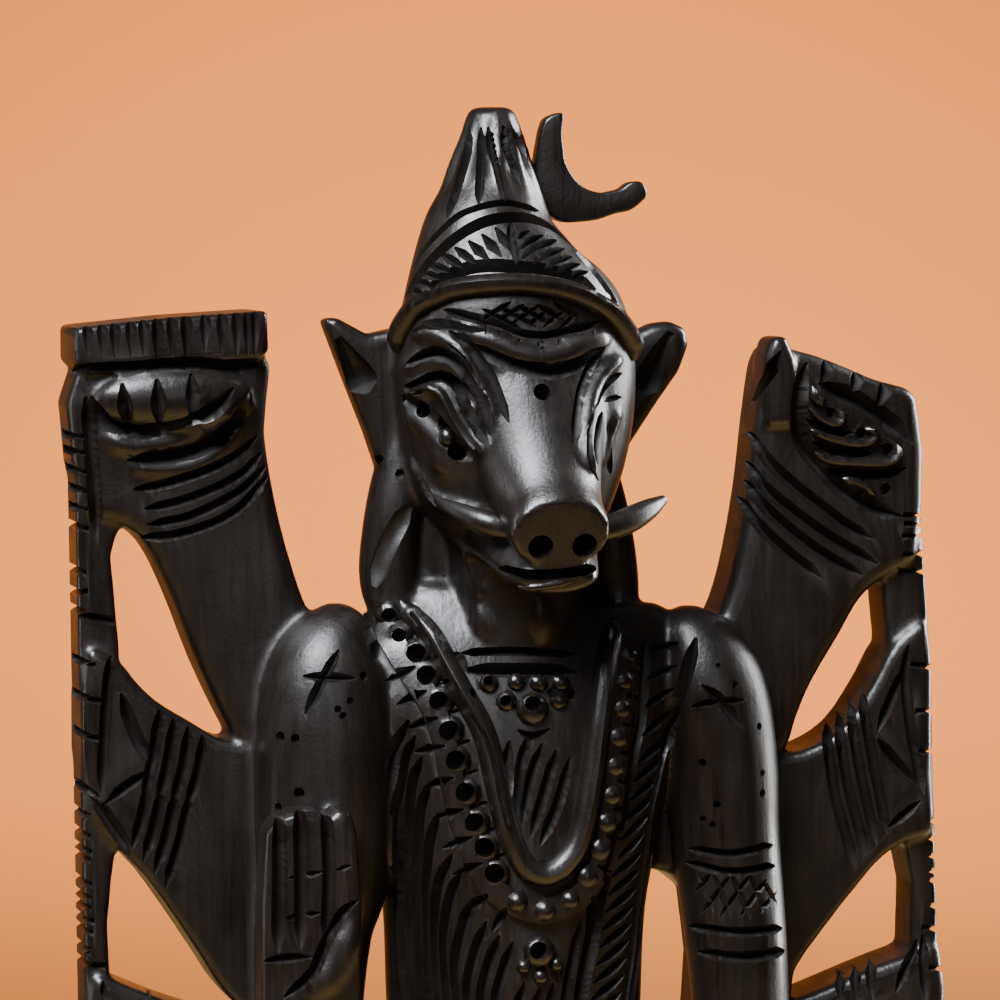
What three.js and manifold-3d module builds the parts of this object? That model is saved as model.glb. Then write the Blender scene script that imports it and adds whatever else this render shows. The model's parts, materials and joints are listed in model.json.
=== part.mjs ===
// A hand-carved ebony figure of the boar-headed, eight-armed goddess, standing on a low lotus base.
// Millimetres, +Z up, the figure looks along -Y, and the origin is under the middle of the base.
// The body, its arms, the staves that tie the hands together and the base are one block of wood.
// The two tusks and the crescent on the crown are small pegs of the same wood, set into that block.
import * as THREE from "three";
import { mergeVertices } from "three/addons/utils/BufferGeometryUtils.js";
import Module from "manifold-3d";

const wasm = await Module();
wasm.setup();

// Driving sizes
const BACK_ARM_MIDDLE = 6; // y of the middle of the flat arms behind the figure
const BACK_ARM_DEPTH = 12;
const STAVE_DEPTH = 9;
const CAP_DEPTH = 16; // of the ribbed block on the upper left hand
const NOTCH = 1.3; // radius of the three-sided cut across a stave
const WEDGE_LIFT = 0.35; // share of its radius by which such a cut stands out of the surface
const HOLE_SIDES = 6;
const HOLE_TAPER = 0.7; // bottom of a drilled hole against its mouth
const CORD_SIDES = 6;
const CORD_LIFT = 0.3; // share of a cord's height by which its middle stands off the surface
const PEG_GAP = 0.3; // play between a peg and its socket
const TUSK_SIDES = 10;
const CUT_RISE = 0.8; // how far a cutting shape starts above the surface
const SIGHT = 120; // distance from which the surface is looked up

// Stations: [x, y, z, half width, half depth, flute depth] of a section, from one end of a form to the other
const SKIRT = [
  [0, -2, 22, 28.5, 20, 1.7],
  [0, -2, 31, 27.5, 19.2, 1.6],
  [0, -1.5, 44, 25.5, 17.6, 1.4],
  [0, -1, 66, 24, 16.4, 1.3],
  [0, -0.5, 92, 24.2, 16.4, 1.2],
  [0, 0, 120, 25.4, 17, 1.1],
  [0, 0.5, 144, 24.6, 16.6, 0.9],
  [0, 1, 160, 21, 15, 0.4],
];
const SKIRT_PANEL = [
  [0, -15.6, 157, 4.4, 2.4, 0.4],
  [0, -17, 120, 5.6, 2.6, 0.8],
  [0, -16.6, 84, 6.6, 2.7, 0.9],
  [0, -18, 48, 8.2, 2.8, 1],
  [0, -20.8, 25.4, 9.6, 3, 1.1],
];
const BELT = [
  [0, 1, 153.4, 22.4, 15.8],
  [0, 1, 155.4, 23.8, 17.2],
  [0, 1, 160, 22.8, 16.4],
  [0, 1, 161.8, 20.2, 14.6],
];
const TORSO = [
  [0, 1, 150, 20, 14],
  [0, 1, 161, 20.2, 14.4],
  [-0.5, 1, 174, 18, 13],
  [-0.8, 0.5, 190, 18.9, 13.5],
  [-0.5, 0.5, 204, 19.5, 14],
  [0, 0.5, 216, 21.5, 14.5],
  [0, 0.5, 227, 24, 14],
  [-0.5, 1, 236, 26.5, 12.8],
  [-1.2, 1.5, 243, 25.5, 10.5],
  [-1.5, 2, 247, 19.6, 8.5],
  [-1, 2, 249.4, 10.6, 7],
];
const NECK = [
  [0, 0, 238, 13, 10],
  [0, -1, 246, 10.5, 9.5],
  [0, -2, 255, 9.8, 9.5],
  [0, -3, 266, 12, 11],
];
const HEAD = [
  [0, -5, 254.5, 5.5, 5],
  [0, -6, 259, 11.5, 9.5],
  [-0.2, -5.5, 265, 14.6, 12],
  [-0.3, -5, 272, 16.6, 13.5],
  [-0.3, -5, 280, 17.5, 13.6],
  [-0.6, -4.5, 286, 17.4, 13.9],
  [-1.8, -3.8, 291.5, 15.9, 13.2],
  [-2.7, -2.8, 296.5, 12.9, 11.6],
  [-3, -1.6, 302, 10.1, 9.4],
  [-2.4, -0.6, 307, 8, 7.3, 0.3],
  [-2.2, -0.1, 311, 6.6, 6.2, 0.9],
  [-1.9, 0.4, 315, 5.1, 4.9, 0.8],
  [-1.8, 1, 319.2, 3.5, 3.4, 0.4],
  [-1.8, 1, 320, 2.4, 2.3],
];
const FACE = [
  [0, -6, 290, 13, 8],
  [0, -9, 284, 12.5, 8.5],
  [0, -11.5, 278, 11.5, 8.8],
  [0, -14.5, 272, 10, 8.6],
  [0, -18.5, 267, 8.4, 7.6],
  [0, -23, 263, 7.3, 6.4],
  [0, -26.6, 260.8, 7.3, 5.7],
  [0, -28.4, 260.2, 6.9, 5.1],
];
const JAW = [
  [0, -7, 261, 11.5, 6.5],
  [0, -14, 258, 9, 5],
  [0, -20, 255.6, 7.4, 3.8],
  [0, -25, 254, 6.2, 2.6],
  [0, -26.6, 253.6, 5, 1.9],
];
const HAIR_BEHIND = [
  [0, 4, 282, 11, 7],
  [0, 7, 272, 13, 8],
  [0, 8, 258, 13.5, 7],
  [0, 8, 244, 12, 6],
  [0, 8, 232, 9, 4],
];
const HAIR_LEFT = [
  [-14.5, 1, 273, 3.4, 4],
  [-16.6, 1.5, 266, 3.8, 4.8],
  [-17.8, 1.5, 258, 4.2, 5],
  [-18.3, 1, 252, 4.2, 4.6],
  [-17.5, 0.5, 247, 3.4, 3.8],
  [-16.5, 0, 243, 2.2, 2.6],
];
const HAIR_RIGHT = [
  [12.5, 2.5, 270, 3, 4],
  [14, 2.5, 263, 3.6, 4.8],
  [14.8, 2, 256, 4, 5],
  [15.4, 2, 250, 4, 4.6],
  [15.4, 1, 245, 3.4, 3.8],
  [15, 0.5, 241, 2.2, 2.6],
];
const RAISED_UPPER_ARM = [
  [-22.5, 0.5, 244, 4, 5],
  [-25.6, -0.3, 243, 7, 7.4],
  [-27.8, -1.2, 238.6, 9.2, 9.2],
  [-28.6, -2, 230, 10, 9.8],
  [-29, -2.6, 218, 10, 9.4],
  [-29.6, -3, 209.6, 9.4, 9],
  [-31.2, -3.4, 202.6, 8.4, 8.4],
  [-32.4, -4, 188, 7.6, 8],
  [-32.6, -5, 174, 7.4, 7.6],
  [-32.6, -6, 167.5, 6, 6],
  [-32.6, -6.4, 165, 3.2, 3.2],
];
const RAISED_FOREARM = [
  [-32.8, -5.5, 169, 6.8, 6.6],
  [-33.4, -9.5, 177, 6.8, 6.2],
  [-34, -13, 186, 6.6, 5],
  [-34.6, -15, 194, 6.8, 4],
];
const HANGING_ARM = [
  [22, 0.5, 242, 4, 5],
  [25.4, -0.3, 240.6, 7, 7.4],
  [28.4, -1.4, 235, 8.8, 9],
  [30.4, -2, 225, 8.4, 9],
  [31, -2.5, 212, 7.9, 8.4],
  [32, -3, 199, 7.5, 8],
  [32.6, -3.4, 187, 7.1, 7.6],
  [32.4, -4, 174, 7, 7.2],
  [31.4, -5, 160, 6.6, 6.6],
  [29.8, -6.6, 145, 5.7, 5.6],
  [28, -8, 133, 5, 4.6],
  [27.2, -8.4, 127, 5.4, 4],
];
const FOOT = [
  [9.5, -12, 26, 7, 4],
  [9.8, -19, 27, 6.6, 4.4],
  [10.2, -25, 26, 6.6, 3.4],
  [10.4, -29, 25, 5.6, 2.2],
];
const LOTUS_BASE = [
  [0, 0, 0, 44, 32],
  [0, 0, 4.5, 44, 32],
  [0, 0, 6, 40.5, 28.5, 2],
  [0, 0, 10, 36.5, 25.4, 1.4],
  [0, 0, 14, 37, 26, 1.4],
  [0, 0, 21, 41.5, 30, 3],
  [0, 0, 24, 40.5, 29, 2.4],
];

// Front outlines [x, z] of the flat carved parts
const LEFT_ARMS = [
  [
    [-62.4, 284.8], [-36, 286], [-35.9, 274.1], [-34.5, 263.9], [-32, 253.7], [-29.4, 247], [-25, 242],
    [-12, 236], [-12, 216], [-27, 216], [-37.6, 224], [-42, 231.6], [-46.3, 241], [-50.2, 251.6],
    [-53.8, 258.8], [-57.6, 261.5], [-62.4, 263],
  ],
  [
    [-62.4, 243.6], [-57.8, 241.8], [-55.4, 238.8], [-52.6, 236], [-47.4, 232.6], [-42, 229.6],
    [-12, 228], [-12, 216], [-26.5, 210], [-27, 184], [-38.6, 188.8], [-43.7, 193.6], [-46.6, 198.2],
    [-50.9, 205], [-54.9, 210.9], [-62.6, 221],
  ],
  [
    [-62.8, 196.6], [-56.5, 194.6], [-51.5, 192.4], [-45, 190], [-36, 187], [-27, 186], [-27, 148],
    [-36.4, 143.6], [-43, 148.5], [-51.6, 159], [-57.6, 167.6], [-62.8, 173],
  ],
];
const LEFT_STAVE = [
  [-63.3, 281], [-63.5, 236], [-63.7, 192], [-63.9, 148], [-63.5, 145], [-60, 145], [-59.6, 148],
  [-59.4, 174], [-60.2, 204], [-59.4, 211], [-57.6, 222], [-57.6, 244], [-58.5, 257], [-57, 262],
  [-56, 280],
];
const RIGHT_ARMS = [
  [
    [40.2, 283.9], [45.4, 283.3], [50, 281.7], [56.2, 279], [62.6, 276.2], [62.4, 253], [58, 250],
    [55.2, 248.2], [53, 246], [50.3, 241.6], [45.7, 234.4], [43.3, 229.2], [42, 225.4], [37.6, 219],
    [27, 210], [12, 210], [12, 232], [24.4, 238], [29.6, 242.4], [32.4, 246.8], [34.6, 254.2],
    [36.6, 264.5], [38.2, 276.3],
  ],
  [
    [63.6, 242.6], [63.9, 220], [64, 211.6], [59.9, 210], [56.3, 208], [52.9, 204.6], [46.5, 197.2],
    [42.3, 191.6], [41.4, 187.4], [28, 176], [27, 204], [12, 212], [12, 224], [37.6, 223.8],
    [44.2, 224.4], [50.3, 227.6], [55.2, 234.2], [58.6, 239.8],
  ],
  [
    [65, 194], [65.4, 174], [65, 167], [61, 162.4], [52.4, 155.8], [43, 144.5], [36.4, 140], [28, 142],
    [27.5, 182], [35.6, 185.8], [43.6, 187.6], [49, 189.4], [55.4, 191.6], [59.4, 192.8],
  ],
];
const RIGHT_THUMB = [
  [38.5, 272.6], [38.7, 282.9], [39.8, 285.7], [41.8, 285.9], [43.2, 282.7], [43.7, 278.6],
  [42.6, 272.6],
];
const RIGHT_STAVE = [
  [62.6, 271], [63.7, 253], [64.7, 234], [65.1, 200], [65.4, 162], [65.3, 145], [65, 141.5],
  [62, 141.5], [61.7, 145], [60.7, 188], [61.2, 203.4], [58.4, 218], [57.5, 228], [57.8, 241],
  [56.6, 254], [56.6, 270],
];
const LEFT_EAR = [
  [-27.4, 290], [-25.5, 290.3], [-23, 288.9], [-20.9, 287.7], [-14, 289], [-12, 270], [-15, 265.4],
  [-19.2, 267], [-21.3, 273.5], [-24.5, 282],
];
const RIGHT_EAR = [
  [18, 286.6], [21.6, 288.2], [24.4, 288.5], [26.6, 287.4], [27.1, 285], [25.6, 281.2], [22, 276.4],
  [17.8, 270.4], [15, 266.2], [12, 268], [13, 286],
];
const RAISED_HAND = [
  [-42, 187], [-42, 195.4], [-41.8, 209.5], [-41, 219.1], [-39.4, 221.1], [-35.9, 222.1],
  [-33.4, 221.9], [-32.2, 220.4], [-30.9, 222], [-28.9, 221.6], [-28, 218.7], [-27.5, 208.7],
  [-27.8, 194.5], [-29, 186], [-34, 182.5],
];
const HANGING_HAND = [
  [23.5, 134], [21.6, 124], [21.4, 116], [22.6, 110.6], [25.2, 107.8], [28.4, 107.6], [31.2, 110],
  [32.6, 115.5], [33, 124], [32.4, 134],
];
const CAP = [
  [-63.4, 289.8], [-50, 290.9], [-35.7, 291.5], [-35.6, 285.6], [-37, 284.6], [-62, 283.2],
  [-63.5, 284.8],
];
const CRESCENT = [
  [8.2, 318.9], [6.6, 318.7], [5.4, 317.8], [4.5, 314.4], [3.9, 310.8], [3.9, 308.3], [4.5, 306.3],
  [5.3, 305], [6.7, 303.8], [8.2, 303.2], [10.1, 303.2], [13.1, 303.5], [15.7, 304.3], [17.8, 304.7],
  [19.2, 305.5], [20.6, 307], [19.8, 308.8], [18.1, 308.8], [16.7, 307.9], [15.4, 307.6], [13.9, 307.4],
  [12, 307.8], [10.5, 308.7], [9.3, 310.2], [8.4, 312], [8.2, 313.8], [8, 316.2],
];
const RIGHT_TUSK = [
  [5, -21.6, 259.2, 1.3, 1.3],
  [8, -21, 260, 1.7, 1.7],
  [12.2, -19.4, 261.1, 1.9, 1.9],
  [15.8, -17.2, 262.4, 1.5, 1.5],
  [18.6, -15, 263.5, 0.7, 0.7],
];
const LEFT_TUSK = [
  [-5.6, -21, 260.4, 1.4, 1.4],
  [-8.3, -20, 261.3, 1.8, 1.8],
  [-10.6, -17.8, 262.3, 1.55, 1.55],
  [-12.6, -15.2, 263.4, 1.1, 1.1],
  [-14.2, -12.6, 264.4, 0.5, 0.5],
];

// Rounded lumps: [x, y, z, half width, half depth, half height]
const FIST = [-49.4, -0.2, 279.4, 11.6, 4, 4.6];
const PENDANTS = [
  [-0.4, -13, 233, 2.8, 1.8, 3],
  [-0.8, -14, 199.4, 2.8, 1.8, 3],
];
// Cords that stand out along a line, as [x, z] seen from the front: the roll of the headdress, the
// smooth garland and the beaded one outside it
const CORDS = [
  {
    points: [[-17.4, 279], [-17, 286], [-12.4, 293], [-1.6, 294.8], [9.4, 291.4], [14.8, 285], [16, 279]],
    rings: 13,
    width: 3.2,
    height: 1.9,
  },
  {
    points: [[-15.6, 246], [-9.3, 231.6], [-6.2, 217], [-1.4, 209], [5.4, 214.6], [8.6, 230], [11.6, 243.6]],
    rings: 16,
    width: 2.6,
    height: 1.5,
  },
  {
    points: [
      [-19.6, 246.6], [-14, 235], [-11.4, 224], [-8.4, 213.4], [-0.4, 204.6], [7.6, 211], [11.4, 226],
      [15.6, 242.4],
    ],
    rings: 30,
    width: 5,
    height: 1.8,
    bead: 0.7,
  },
];

// Straight or curved V cuts: the first and the last line of a group, how many, width and depth
const STROKES = [
  { first: [[-57, 281.8], [-55.8, 276]], last: [[-47.2, 282.4], [-47, 277]], count: 3, size: [2.2, 1.4] },
  { first: [[-60.6, 280.6], [-57.6, 275.8], [-51, 274.4], [-44.8, 276.2], [-39.8, 280.6]], size: [1.6, 1.2] },
  {
    first: [[-56.2, 270.4], [-50.6, 270.4], [-45, 272.2], [-39, 276]],
    last: [[-53.4, 258.6], [-49, 259], [-43.6, 261.4], [-37.4, 266.6]],
    count: 4,
    size: [1.1, 0.9],
  },
  { first: [[-59.6, 243], [-60.4, 224]], size: [1.6, 1.1] },
  { first: [[-58, 237.6], [-54, 227.4]], size: [2.2, 1.3] },
  { first: [[-54.2, 226.8], [-59.6, 222]], size: [2.2, 1.3] },
  {
    first: [[-52.2, 234.4], [-53.8, 226], [-56.2, 214.6]],
    last: [[-46, 231], [-48, 220.6], [-51.6, 208.4]],
    count: 4,
    size: [1.3, 1],
  },
  {
    first: [[38.8, 270.4], [41.6, 266], [46.4, 261.6], [52.4, 257.4]],
    last: [[37, 260.6], [39.4, 257], [44.5, 252.2], [49.4, 248.4]],
    count: 4,
    size: [1.1, 0.9],
  },
  { first: [[45, 281], [43.2, 275.6], [43.8, 270.4], [46, 266.6]], size: [2.4, 1.8] },
  { first: [[47.4, 279.2], [53.4, 276.4], [60.4, 271]], size: [1.6, 1.3] },
  {
    first: [[46, 275.4], [50.6, 272], [58.6, 267.6]],
    last: [[46.6, 268], [51, 264.6], [57, 261]],
    count: 3,
    size: [1.5, 1.1],
  },
  { first: [[48.4, 281.8], [49.4, 279.6]], last: [[59, 277.4], [59.6, 275]], count: 4, size: [1.8, 1.4] },
  { first: [[60, 238], [55.6, 226.6]], size: [2.2, 1.3] },
  { first: [[54.9, 226], [61, 218]], size: [2.2, 1.3] },
  {
    first: [[48.2, 224.4], [48.6, 217], [50.6, 206.4]],
    last: [[54.4, 231], [54.8, 222], [56.6, 210.6]],
    count: 4,
    size: [1.3, 1],
  },
  { first: [[-26.6, 240.6], [-32, 232.2]], size: [1.1, 0.8] },
  { first: [[-32, 237.6], [-24.8, 237.2]], size: [1.1, 0.8] },
  { first: [[26.6, 236], [32.6, 229.7]], size: [1.1, 0.8] },
  { first: [[25.4, 233.2], [33, 233.4]], size: [1.1, 0.8] },
  { first: [[-38.9, 221.2], [-39.2, 202]], last: [[-36.1, 222], [-36.3, 202.4]], count: 2, size: [1.1, 1.3] },
  { first: [[-32.2, 221.2], [-32.5, 208.4]], size: [1.1, 1.3] },
  { first: [[-38.6, 212.8], [-29.9, 213.5]], last: [[-39.4, 207], [-29, 207.8]], count: 2, size: [0.7, 0.5] },
  { first: [[-41, 200.6], [-35.4, 201.4]], size: [1, 0.8] },
  { first: [[-32.2, 205.6], [-33.2, 189]], size: [1.2, 1] },
  {
    first: [[24.2, 211.8], [30.8, 211], [37.8, 211.2]],
    last: [[24.6, 209.2], [31.2, 208.2], [38, 208.5]],
    count: 2,
    size: [0.9, 0.8],
    bends: 2,
  },
  {
    first: [[24.8, 200.4], [31.6, 199.6], [38.4, 199.8]],
    last: [[25.2, 197.2], [32, 196.2], [38.6, 196.5]],
    count: 2,
    size: [0.9, 0.8],
    bends: 2,
  },
  { first: [[25, 207.8], [29, 201]], last: [[34, 207.8], [38, 201]], count: 3, size: [0.8, 0.6] },
  { first: [[29, 207.8], [25, 201]], last: [[38, 207.8], [34, 201]], count: 3, size: [0.8, 0.6] },
  { first: [[-9.4, 241.6], [-1.6, 240.4], [6.8, 241.6]], size: [1.3, 1], bends: 2 },
  { first: [[-5.6, 229], [-3.6, 217]], last: [[5.6, 229], [1.6, 214]], count: 4, size: [1.3, 1] },
  {
    first: [[-17.2, 228], [-18.2, 208], [-17, 178]],
    last: [[-5, 203], [-7.6, 190], [-7.4, 168]],
    count: 6,
    size: [1.6, 1.3],
    bends: 2,
  },
  { first: [[23, 241.6], [18, 238]], last: [[12.8, 199], [9, 194.6]], count: 11, size: [1.3, 1] },
  { first: [[12, 195], [8.4, 190.4]], last: [[9.6, 173], [6.6, 168.4]], count: 5, size: [1.3, 1] },
  { first: [[24.4, 239], [18.8, 222], [14.6, 200], [11.4, 172]], size: [1.3, 1.1] },
  { first: [[17.2, 236.6], [13.4, 218], [8.6, 200], [5.6, 170]], size: [1.3, 1.1] },
  { first: [[0.6, 193], [-2.6, 168]], last: [[5.2, 192], [3.2, 168]], count: 3, size: [1.3, 1] },
  { first: [[-10.4, 287.4], [-5, 284.3], [-0.4, 282.7], [4, 283.6], [9.4, 286]], size: [1.4, 1] },
  { first: [[-10.3, 286.4], [-7.1, 282.2], [-5.1, 275.6]], size: [1.4, 1] },
  { first: [[-15.6, 284.6], [-12.4, 284.8], [-9.6, 280], [-7.4, 272.6]], size: [1.5, 1.2] },
  { first: [[-15.4, 281.4], [-12.4, 281.8], [-9.8, 277.4], [-8.4, 271]], size: [1.5, 1.3] },
  { first: [[-15.8, 279], [-13.6, 275.4], [-11.2, 270.6]], size: [2.4, 1.7] },
  { first: [[9.6, 285.4], [6.4, 281.6], [4.8, 275.3]], size: [1.4, 1] },
  { first: [[12.8, 283.4], [9.6, 280], [7.8, 273.6]], size: [1.5, 1.2] },
  { first: [[11.4, 279.4], [10.6, 275], [9.2, 270.2]], size: [2.4, 1.7] },
  { first: [[-3.2, 301.4], [-5, 297.6]], last: [[-11.4, 296.4], [-13, 293.4]], count: 5, size: [1, 0.8] },
  { first: [[-1.4, 301.4], [-0.6, 297.6]], last: [[6.4, 296], [8, 293]], count: 5, size: [1, 0.8] },
  { first: [[-12.6, 298.4], [-9.4, 302.4], [-4, 304.6], [1.6, 302.8], [6, 298.6]], size: [1, 0.8] },
];
// Upright cuts across the front of the ribbed block on the upper left hand
const CAP_CUTS = { first: [-61.6, 287.4], last: [-37.4, 288.8], count: 11, length: 9, radius: 1.1 };
// Cuts across the outer edge of the staves, by height
const NOTCHES = [
  { x: -63.6, from: 271, to: 251, count: 5 },
  { x: -63.7, from: 238, to: 228, count: 3 },
  { x: -63.8, from: 212, to: 200, count: 4 },
  { x: -63.9, from: 184, to: 158, count: 3 },
  { x: 63.4, from: 266, to: 251, count: 4 },
  { x: 64.7, from: 237, to: 225, count: 3 },
  { x: 65.2, from: 213, to: 200, count: 4 },
  { x: 65.3, from: 182, to: 154, count: 3 },
];
// Drilled holes: [x, z, radius, depth]
const HOLES = [
  [0.1, 279.6, 1.2, 1.6], [-2.9, 258.6, 1.75, 3], [3.4, 258.5, 1.75, 3],
  [-0.4, 232.6, 1, 1.6], [-0.8, 199.4, 1, 1.6],
];

function solidOf(geometry) {
  geometry.deleteAttribute("normal");
  geometry.deleteAttribute("uv");
  const merged = mergeVertices(geometry, 1e-4);
  return new wasm.Manifold(
    new wasm.Mesh({
      numProp: 3,
      vertProperties: merged.attributes.position.array,
      triVerts: new Uint32Array(merged.index.array),
    }),
  );
}

function geometryOf(solid) {
  const mesh = solid.getMesh();
  const geometry = new THREE.BufferGeometry();
  geometry.setAttribute("position", new THREE.BufferAttribute(new Float32Array(mesh.vertProperties), 3));
  geometry.setIndex(new THREE.BufferAttribute(new Uint32Array(mesh.triVerts), 1));
  return geometry;
}

// A closed form through elliptical sections; every second side lies deeper where it is fluted
function loft(stations, sides) {
  const centres = new THREE.CatmullRomCurve3(stations.map(([x, y, z]) => new THREE.Vector3(x, y, z)));
  const radii = new THREE.CatmullRomCurve3(stations.map((s) => new THREE.Vector3(s[3], s[4], s[5] ?? 0)));
  const rings = stations.length;
  const depthAxis = new THREE.Vector3(0, 1, 0);
  const positions = [];
  for (let r = 0; r < rings; r++) {
    const t = r / (rings - 1);
    const centre = centres.getPoint(t);
    const radius = radii.getPoint(t);
    const along = centres.getTangent(t);
    const across = new THREE.Vector3().crossVectors(depthAxis, along).normalize();
    const through = new THREE.Vector3().crossVectors(along, across);
    for (let s = 0; s < sides; s++) {
      const angle = ((s + 0.5) / sides) * 2 * Math.PI;
      const p = centre.clone();
      const flute = s % 2 ? radius.z : 0;
      p.addScaledVector(across, (radius.x - flute) * Math.cos(angle));
      p.addScaledVector(through, (radius.y - flute) * Math.sin(angle));
      positions.push(p.x, p.y, p.z);
    }
  }
  const first = positions.length / 3;
  for (const t of [0, 1]) {
    const p = centres.getPoint(t);
    positions.push(p.x, p.y, p.z);
  }
  const index = [];
  for (let s = 0; s < sides; s++) {
    const next = (s + 1) % sides;
    for (let r = 0; r < rings - 1; r++) {
      const [a, b] = [r * sides + s, r * sides + next];
      index.push(a, b, b + sides, a, b + sides, a + sides);
    }
    const top = (rings - 1) * sides;
    index.push(first, next, s, first + 1, top + s, top + next);
  }
  const geometry = new THREE.BufferGeometry();
  geometry.setAttribute("position", new THREE.Float32BufferAttribute(positions, 3));
  geometry.setIndex(index);
  return solidOf(geometry);
}

// A flat part of a depth about its middle y, with edges cut back by edge and lip; a grown one leaves
// room around it
function board(outline, middle, depth, edge, lip = edge, grow = 0) {
  const shape = new THREE.Shape(outline.map(([x, z]) => new THREE.Vector2(x, z)));
  const geometry = new THREE.ExtrudeGeometry(shape, {
    depth: depth - 2 * lip + 2 * grow,
    bevelSize: edge,
    bevelThickness: lip,
    bevelOffset: grow - edge,
    bevelSegments: 1,
  });
  geometry.rotateX(Math.PI / 2);
  geometry.translate(0, middle + depth / 2 - lip + grow, 0);
  return solidOf(geometry);
}

function egg(x, y, z, rx, ry, rz) {
  const geometry = new THREE.SphereGeometry(1, 10, 6);
  geometry.scale(rx, ry, rz);
  geometry.translate(x, y, z);
  return solidOf(geometry);
}

// Looks the surface up from the front at [x, z]: where it is met, and which way it faces there
function surfaceOf(solid) {
  const target = new THREE.Mesh(geometryOf(solid), new THREE.MeshBasicMaterial());
  const backwards = new THREE.Vector3(0, 1, 0);
  return ([x, z]) => {
    const eye = new THREE.Vector3(x, -SIGHT, z);
    return new THREE.Raycaster(eye, backwards).intersectObject(target)[0];
  };
}


function lineThrough(points, steps) {
  const flat = points.map(([u, v]) => new THREE.Vector3(u, v, 0));
  const curve = new THREE.CatmullRomCurve3(flat);
  return curve.getPoints(steps).map((p) => [p.x, p.y]);
}

// A V-shaped cutting wedge that follows the surface and tapers to nothing at both ends
function vCut(surface, points, [width, depth], steps) {
  const hits = lineThrough(points, steps).map(surface);
  const spread = ((width / 2) * (depth + CUT_RISE)) / depth;
  const positions = [];
  hits.forEach((hit, i) => {
    const normal = hit.face.normal;
    const before = hits[Math.max(i - 1, 0)].point;
    const after = hits[Math.min(i + 1, steps)].point;
    const along = after.clone().sub(before).normalize();
    const side = new THREE.Vector3().crossVectors(along, normal).normalize();
    const above = hit.point.clone().addScaledVector(normal, CUT_RISE);
    if (i === 0 || i === steps) {
      positions.push(...above);
      return;
    }
    positions.push(...above.clone().addScaledVector(side, spread));
    positions.push(...above.clone().addScaledVector(side, -spread));
    positions.push(...hit.point.clone().addScaledVector(normal, -depth));
  });
  const index = [];
  const last = positions.length / 3 - 1;
  for (let k = 0; k < 3; k++) {
    const next = (k + 1) % 3;
    index.push(0, 1 + k, 1 + next);
    index.push(last, last - 3 + next, last - 3 + k);
    for (let i = 1; i < last - 3; i += 3) {
      index.push(i + k, i + 3 + k, i + 3 + next, i + k, i + 3 + next, i + next);
    }
  }
  const geometry = new THREE.BufferGeometry();
  geometry.setAttribute("position", new THREE.Float32BufferAttribute(positions, 3));
  geometry.setIndex(index);
  return solidOf(geometry);
}

function between(first, last, share) {
  return first.map((p, i) => p.map((v, j) => v + (last[i][j] - v) * share));
}

function strokes(surface, { first, last = first, count = 1, size, bends = 1 }) {
  const steps = Math.max(2, bends * (first.length - 1));
  return Array.from({ length: count }, (_, i) => {
    const share = count > 1 ? i / (count - 1) : 0;
    return vCut(surface, between(first, last, share), size, steps);
  });
}

function drill(surface, [x, z, radius, depth]) {
  const hit = surface([x, z]);
  const bit = new THREE.CylinderGeometry(radius * HOLE_TAPER, radius, depth + CUT_RISE, HOLE_SIDES);
  bit.translate(x, hit.point.y + (depth - CUT_RISE) / 2, z);
  return solidOf(bit);
}

function capCuts() {
  const [first, last] = [CAP_CUTS.first, CAP_CUTS.last];
  return Array.from({ length: CAP_CUTS.count }, (_, i) => {
    const [x, z] = between([first], [last], i / (CAP_CUTS.count - 1))[0];
    const wedge = new THREE.CylinderGeometry(CAP_CUTS.radius, CAP_CUTS.radius, CAP_CUTS.length, 3);
    wedge.rotateX(-Math.PI / 2);
    wedge.translate(x, BACK_ARM_MIDDLE - CAP_DEPTH / 2 - CAP_CUTS.radius * WEDGE_LIFT, z);
    return solidOf(wedge);
  });
}

function notches({ x, from, to, count }) {
  return Array.from({ length: count }, (_, i) => {
    const z = from + ((to - from) * i) / (count - 1);
    const wedge = new THREE.CylinderGeometry(NOTCH, NOTCH, STAVE_DEPTH + NOTCH, 3);
    wedge.rotateY(x > 0 ? -Math.PI / 2 : Math.PI / 2);
    wedge.translate(x + Math.sign(x) * NOTCH * WEDGE_LIFT, BACK_ARM_MIDDLE, z);
    return solidOf(wedge);
  });
}

// A cord of wood standing out along a line on the surface; a beaded one swells and shrinks
function cord(surface, { points, rings, width, height, bead = 0 }) {
  const stations = lineThrough(points, rings).map((p, i) => {
    const { point, face } = surface(p);
    const centre = point.clone().addScaledVector(face.normal, height * CORD_LIFT);
    const pinch = (i % 2) * bead;
    return [centre.x, centre.y, centre.z, width / 2 - pinch, height - pinch];
  });
  return loft(stations, CORD_SIDES);
}

const crescent = (grow) => board(CRESCENT, -0.6, 3.4, 0.7, 0.7, grow);
const thicker = (stations, by) => stations.map(([x, y, z, a, b]) => [x, y, z, a + by, b + by]);
const mirrored = (stations) => stations.map(([x, y, z, a, b]) => [-x, y, z, a, b]);

const wood = new THREE.MeshStandardMaterial({ color: 0x1d1816, roughness: 0.42, metalness: 0 });

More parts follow.
